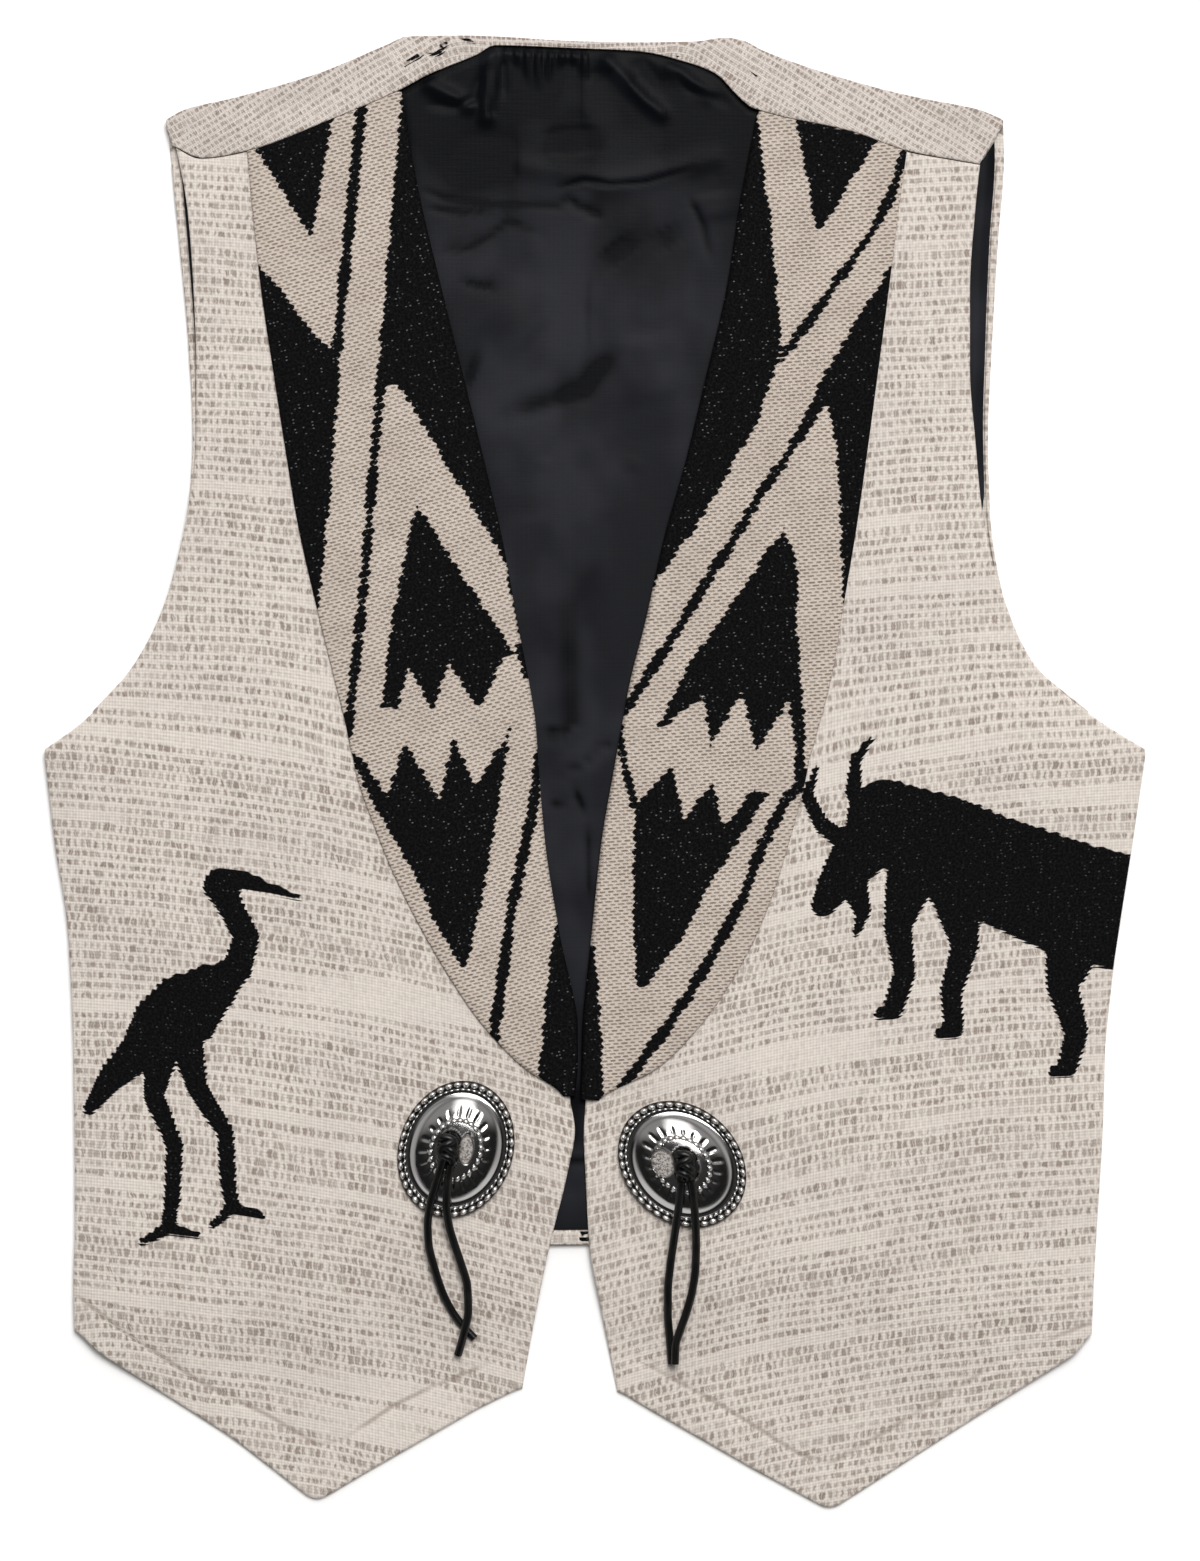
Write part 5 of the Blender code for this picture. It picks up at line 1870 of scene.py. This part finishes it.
@dataclass
class ArmholeFacing:
    """A narrow strip along the inside of the back's armhole."""

    side: Side
    edge_turn: float = 0.2
    top_width: float = 3.3
    low_width: float = 1.3
    top_y: float = 262.0
    low_y: float = 26.0
    taper_y: float = 120.0
    spacing: float = 2.0
    places: tuple = (0.0, 0.08, 0.25, 0.5, 0.75, 0.92, 1.0)
    flat: tuple = (0.010, 0.245)
    area: float = 0.00074

    def width(self, y: Places) -> np.ndarray:
        """Width of the facing, widest at the shoulder."""
        share = ease((y - self.taper_y) / (self.top_y - self.taper_y))
        return between(self.low_width, self.top_width, share)

    def build(self) -> bpy.types.Object:
        """Makes the facing and dresses it.

        Returns:
            The finished piece.
        """
        inward = self.side.toward_neck
        y = (self.top_y - edged(self.top_y - self.low_y, self.spacing))[:, None]
        edge = back_edge(self.side, y) + inward * self.edge_turn
        share = np.array(self.places)[None, :]
        x = edge + inward * self.width(y) * share
        top = LINING_UNDER + LINING_WALL * rounded(share, 4)
        under, over = stacked(x, y, LINING_UNDER), stacked(x, y, top)
        name = "armhole_facing_" + self.side.value + "_cloth"
        finish = BodyCloth().material(name, patterned=False)
        return ClothWall(name, under, over, over[..., :2]).build(finish)


@dataclass
class HemFacing:
    """A narrow strip along the inside of the back's hem."""

    left_x: float = -205.0
    right_x: float = 198.0
    edge_turn: float = 0.2
    width: float = 6.5
    spacing: float = 2.4
    places: tuple = (0.0, 0.04, 0.12, 0.3, 0.5, 0.7, 0.88, 0.96, 1.0)
    flat: tuple = (0.403, 0.010)
    area: float = 0.00262

    def build(self) -> bpy.types.Object:
        """Makes the facing and dresses it.

        Returns:
            The finished piece.
        """
        x = (self.left_x + edged(self.right_x - self.left_x, self.spacing))[None, :]
        share = np.array(self.places)[:, None]
        y = back_hem_y(x) + self.edge_turn + (self.width - self.edge_turn) * share
        top = LINING_UNDER + LINING_WALL * rounded(share, 6)
        x_grid = x + np.zeros_like(y)
        under, over = stacked(x_grid, y, LINING_UNDER), stacked(x_grid, y, top)
        inside = np.max([inside_stroke(x_grid, y, mark) for mark in HEM_FACING_MARK], axis=0)
        marks = {"motif": np.clip(inside, -MARK_REACH, MARK_REACH),
                 "press": np.full_like(x_grid, MARK_REACH), "dense": np.zeros_like(x_grid)}
        wall = ClothWall("hem_facing_cloth", under, over, over[..., :2], marks)
        return wall.build(BodyCloth().material("hem_facing_cloth", patterned=True))


@dataclass
class Concho:
    """An oval silver ornament: a beaded rim, a line of small beads, and an engraved dome."""

    side: Side
    long: float = 60.0
    short: float = 49.0
    segments: int = 460
    mean_radius: float = 27.3
    beads: int = 40
    small_beads: int = 56
    flutes: int = 20
    studs: int = 26
    bead_at: float = 0.943
    bead_size: tuple = (1.75, 1.25)
    small_bead_at: float = 0.876
    small_bead_size: tuple = (1.05, 0.66)
    stud_at: float = 0.43
    stud_size: tuple = (1.15, 0.95)
    slot_depth: float = 1.3
    slot_rim: float = 0.35
    sharp_angle: float = 60.0

    @property
    def slots(self) -> tuple:
        """Both slots: place and half sizes in shares of the radius, and whether cloth shows."""
        if self.side is Side.LEFT:
            return ((0.18, 0.125, 0.22, 1.0), (-0.11, 0.22, 0.28, 0.0))
        return ((-0.30, 0.19, 0.22, 1.0), (0.045, 0.21, 0.28, 0.0))

    def bead(self, share: float, turn: float, at: float, count: int, size: tuple) -> float:
        """Height of a ring of beads, from 0 between them to 1 on top of each.

        Args:
            share: share of the radius.
            turn: angle in radians.
            at: share of the radius where the ring lies.
            count: how many beads there are.
            size: half of a bead's length and half of its width, in millimetres.

        Returns:
            The height.
        """
        place = (turn * count / TAU) % 1.0 - 0.5
        along = place * TAU * at * self.mean_radius / count
        inward = (share - at) * self.mean_radius
        return math.sqrt(max(0.0, 1 - (along / size[0]) ** 2 - (inward / size[1]) ** 2))

    def rings(self) -> list[tuple[float, float]]:
        """Shares of the radius and heights of the rings from the rim to the middle.

        Returns:
            Each ring's share and height.
        """
        knots = [1.0, 0.985, 0.965, 0.94, 0.915, 0.90, 0.885, 0.87, 0.855, 0.84, 0.80, 0.77, 0.74,
                 0.66, 0.58, 0.48, 0.36, 0.24, 0.16, 0.06]
        heights = [1.2, 1.75, 2.1, 2.0, 1.5, 1.35, 1.75, 1.85, 1.7, 1.45, 1.65, 2.1, 2.7, 4.0, 4.9,
                   5.65, 6.3, 6.7, 6.9, 7.0]
        shares = np.concatenate([np.linspace(1.0, 0.84, 22), np.linspace(0.83, 0.49, 20),
                                 np.linspace(0.48, 0.38, 12), np.linspace(0.36, 0.06, 13)])
        smoothed = smooth(knots[::-1], heights[::-1], shares)
        return [(1.0, 0.0)] + list(zip(shares.tolist(), smoothed.tolist()))

    def cuts(self, share: float, turn: float) -> tuple[float, float, float]:
        """Shape of the surface's own marks at one place.

        Args:
            share: share of the radius.
            turn: angle in radians.

        Returns:
            The change in height, the tarnish and how far the cloth shows through.
        """
        rise = 0.0
        tarnish = 0.0
        window = 0.0
        if share > 0.902:
            bead = self.bead(share, turn, self.bead_at, self.beads, self.bead_size)
            rise = 1.1 * bead - 0.45
            tarnish = 1.0 - 2.2 * bead
        elif share > 0.845:
            bead = self.bead(share, turn, self.small_bead_at, self.small_beads,
                             self.small_bead_size)
            rise = 0.50 * bead - 0.1
            tarnish = 0.9 - 1.7 * bead
        elif 0.40 < share < 0.70:
            wave = 0.5 + 0.5 * math.cos(self.flutes * turn)
            reach = 0.68 - 0.04 * (1 + math.sin(3 * turn))
            band = max(0.0, min(1.0, (share - 0.47) / 0.03, (reach - share) / 0.08))
            cut = wave ** 3 * band
            stud = self.bead(share, turn, self.stud_at, self.studs, self.stud_size)
            around = math.exp(-((share - self.stud_at) / 0.035) ** 4)
            rise = 0.70 * stud - 0.40 * cut
            tarnish = 0.45 * cut ** 2 * (1 - around) + around * (0.9 - 2.1 * stud)
        seen = turn + math.radians(CONCHOS[self.side].turn)
        x, y = share * math.cos(seen), share * math.sin(seen)
        for slot_x, half_x, half_y, shows in self.slots:
            inside = 1 - math.hypot((x - slot_x) / half_x, y / half_y) ** 2
            if inside > 0:
                depth = min(1.0, inside * 4)
                rise -= self.slot_depth * depth
                tarnish = max(tarnish, depth * (1 - 0.6 * shows))
                window = max(window, shows * min(1.0, inside * 3))
            elif inside > -self.slot_rim:
                tarnish = max(tarnish, 0.5)
        return rise, min(1.0, max(-1.0, tarnish)), window

    def build(self) -> bpy.types.Object:
        """Makes the ornament and dresses it.

        Returns:
            The finished piece.
        """
        place = CONCHOS[self.side]
        form = bmesh.new()
        tarnish = form.verts.layers.float.new("tarnish")
        window = form.verts.layers.float.new("window")
        loops = []
        for number, (share, height) in enumerate(self.rings()):
            ring = bmesh.ops.create_circle(form, segments=self.segments, radius=share)
            for vert in ring["verts"]:
                turn = math.atan2(vert.co.y, vert.co.x)
                rise, dark, shows = self.cuts(share, turn) if number else (0.0, 0.6, 0.0)
                vert.co.z = height + rise
                vert[tarnish] = dark
                vert[window] = shows
            loops.append(list({edge for vert in ring["verts"] for edge in vert.link_edges}))
        for lower, upper in zip(loops, loops[1:]):
            bmesh.ops.bridge_loops(form, edges=lower + upper)
        bmesh.ops.contextual_create(form, geom=loops[0])
        bmesh.ops.contextual_create(form, geom=loops[-1])
        bmesh.ops.recalc_face_normals(form, faces=form.faces[:])
        size = Matrix.Diagonal((self.short / 2, self.long / 2, 1.0, 1.0))
        spun = Matrix.Rotation(math.radians(place.turn), 4, "Z")
        moved = Matrix.Translation((place.x, place.y, place.base))
        form.transform(Matrix.Scale(MM, 4) @ moved @ spun @ size)
        name = "concho_" + self.side.value + "_silver"
        mesh = meshed(form, name)
        mesh.shade_smooth()
        mesh.set_sharp_from_angle(angle=math.radians(self.sharp_angle))
        mesh.materials.append(Silver().material(name))
        return placed(name, mesh)


def lace_curve(name: str, routes: list, radius: float, finish: str) -> bpy.types.Object:
    """A round leather tube, or several in one object.

    Args:
        name: the object's name.
        routes: the points of each tube, in millimetres.
        radius: half of the tube's thickness, in millimetres.
        finish: the material's name.

    Returns:
        The curve object.
    """
    curve = bpy.data.curves.new(name, "CURVE")
    curve.dimensions = "3D"
    curve.bevel_depth = radius * MM
    curve.bevel_resolution = LACE_ROUNDNESS
    curve.use_fill_caps = True
    for route in routes:
        route = np.array(route, float)
        runs = np.concatenate([[0.0], np.cumsum(np.linalg.norm(np.diff(route, axis=0), axis=1))])
        count = int(runs[-1] / LACE_STEP) + 2
        places = np.linspace(0.0, runs[-1], count)
        points = np.stack([smooth(runs, route[:, axis], places) for axis in range(3)], axis=1)
        spline = curve.splines.new("POLY")
        spline.points.add(count - 1)
        for point, spot in zip(spline.points, points):
            point.co = (*(spot * MM), 1.0)
        spline.use_smooth = True
    curve.materials.append(Leather().material(finish))
    return placed(name, curve)


@dataclass
class Lace:
    """One free end of leather lace."""

    name: str
    diameter: float = 3.5

    def build(self) -> bpy.types.Object:
        """Makes the lace along its route."""
        return lace_curve(self.name + "_leather", [LACES[self.name]], self.diameter / 2, self.name)

    def length(self) -> float:
        """Length of the route in metres."""
        steps = np.diff(np.array(LACES[self.name]), axis=0)
        return float(np.linalg.norm(steps, axis=1).sum()) * MM


@dataclass
class Knot:
    """The lace tied over the middle of a concho."""

    side: Side
    radius: float = 1.75
    dome: float = 7.3

    def build(self) -> bpy.types.Object:
        """Makes the crossing strands of the knot.

        Returns:
            The finished piece.
        """
        place = CONCHOS[self.side]
        base = Vector((place.knot_x, place.knot_y, place.base + self.dome))
        strands = [
            [(-3.2, 4.6, 0.6), (-2.6, 5.0, 1.9), (0.2, 4.9, 2.4), (2.6, 3.4, 2.2), (2.9, 0.6, 1.9),
             (1.2, -1.6, 2.3), (-1.2, -3.6, 2.3), (-2.2, -5.6, 1.9)],
            [(3.4, 3.8, 0.4), (1.6, 3.0, 3.0), (-0.8, 1.8, 3.4), (-2.8, 0.2, 2.4), (-2.6, -2.4, 1.9),
             (-0.4, -3.2, 3.3), (1.6, -4.2, 2.6), (2.0, -6.0, 2.0)],
            [(-3.4, 2.2, 1.0), (-1.4, 0.8, 1.9), (1.6, -0.4, 3.5), (3.2, -2.6, 2.0)],
        ]
        routes = [[tuple(base + Vector(point)) for point in strand] for strand in strands]
        name = "knot_" + self.side.value + "_leather"
        return lace_curve(name, routes, self.radius, name)


@dataclass
class Studio:
    """Pale floor, soft lights and the camera straight above."""

    centre_x: float = 3.0
    centre_y: float = -3.4
    seen_height: float = 671.2
    seen_level: float = 8.0
    camera_height: float = 2600.0
    sensor: float = 36.0
    floor_size: float = 6.0
    floor_drop: float = 0.05
    key_place: tuple = (0.6, 1.7, 3.6)
    key_size: float = 2.0
    key_power: float = 141.0
    key_colour: tuple = (1.0, 0.99, 0.98)
    sky_colour: tuple = (1.0, 0.995, 0.985, 1.0)
    clip_end: float = 50.0

    def camera(self) -> None:
        """Makes the camera and gives it to the scene."""
        data = bpy.data.cameras.new("camera")
        data.sensor_width = self.sensor
        reach = self.camera_height - self.seen_level
        data.lens = self.sensor * reach / self.seen_height
        data.clip_end = self.clip_end
        made = placed("camera", data)
        made.location = Vector((self.centre_x, self.centre_y, self.camera_height)) * MM
        bpy.context.scene.camera = made

    def lamp(self, name: str, place: tuple, size: float, power: float, colour: tuple) -> None:
        """Makes a square soft light aimed at the vest.

        Args:
            name: the light's name.
            place: where it stands, in metres.
            size: its side.
            power: its power in watts.
            colour: its colour.
        """
        data = bpy.data.lights.new(name, "AREA")
        data.size = size
        data.energy = power
        data.color = colour
        made = placed(name, data)
        made.location = place
        made.rotation_mode = "QUATERNION"
        made.rotation_quaternion = (-Vector(place)).to_track_quat("-Z", "Y")

    def lights(self) -> None:
        """Makes the lamp, and a sky of four bands: low, broad, narrow and high."""
        self.lamp("key", self.key_place, self.key_size, self.key_power, self.key_colour)
        world = bpy.data.worlds.new("studio")
        world.use_nodes = True
        graph = WorldGraph(world.node_tree)
        across, forward, rise = graph.direction()
        low = rise.step(0.02, 0.12) * (1.0 - rise.step(0.30, 0.46))
        broad = rise.step(0.34, 0.52) * (1.0 - rise.step(0.80, 0.93)) * forward.step(0.10, 0.50)
        narrow = rise.step(0.42, 0.54) * (1.0 - rise.step(0.80, 0.90)) * forward.step(0.38, 0.54)
        narrow = narrow * (1.0 - (across - 0.08).abs().step(0.14, 0.36))
        high = rise.step(0.72, 0.93)
        front = (0.0 - forward).step(0.25, 0.70)
        strength = low * (front * 0.5 + 0.8) + broad * 0.55 + narrow * 2.6 + high * 0.04 + 0.03
        graph.feed(world.node_tree.nodes["Background"].inputs["Strength"], strength)
        world.node_tree.nodes["Background"].inputs["Color"].default_value = self.sky_colour
        bpy.context.scene.world = world
        bpy.context.scene.view_settings.view_transform = "Standard"

    def floor(self) -> None:
        """Makes the pale floor that the vest lies on."""
        form = bmesh.new()
        bmesh.ops.create_grid(form, x_segments=1, y_segments=1, size=self.floor_size / 2)
        mesh = meshed(form, "floor")
        mesh.materials.append(PaleFloor().material("floor"))
        made = placed("floor", mesh)
        made.location.z = -self.floor_drop * MM


def settle(piece: bpy.types.Object, nodes: list[str]) -> None:
    """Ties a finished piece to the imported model.

    Args:
        piece: the finished piece.
        nodes: the nodes that it stands for.
    """
    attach(piece, BODY)
    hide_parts(*nodes)
    logging.info("%s stands for %s", piece.name, ", ".join(nodes))


def main() -> None:
    """Makes the studio, the laces, and then the vest from the surface up."""
    logging.basicConfig(level=logging.INFO, format="%(message)s")
    studio = Studio()
    studio.camera()
    for name in LACES:
        lace = Lace(name)
        piece = lace.build()
        settle(piece, [name])
    back = VestBack()
    piece = back.build()
    settle(piece, ["back"])
    lining = BackLining()
    piece = lining.build()
    settle(piece, ["back_lining"])
    hem = HemFacing()
    piece = hem.build()
    settle(piece, ["hem_facing"])
    for side in Side:
        facing = ArmholeFacing(side)
        piece = facing.build()
        settle(piece, ["armhole_facing_" + side.value])
        front = VestFront(side)
        piece = front.build()
        settle(piece, ["front_" + side.value])
        lapel = ShawlLapel(side, front)
        piece = lapel.build()
        settle(piece, ["lapel_" + side.value])
        settle(Concho(side).build(), ["concho_" + side.value])
        settle(Knot(side).build(), ["knot_" + side.value])
    studio.lights()
    studio.floor()
    bpy.context.view_layer.update()


if __name__ == "__main__":
    main()
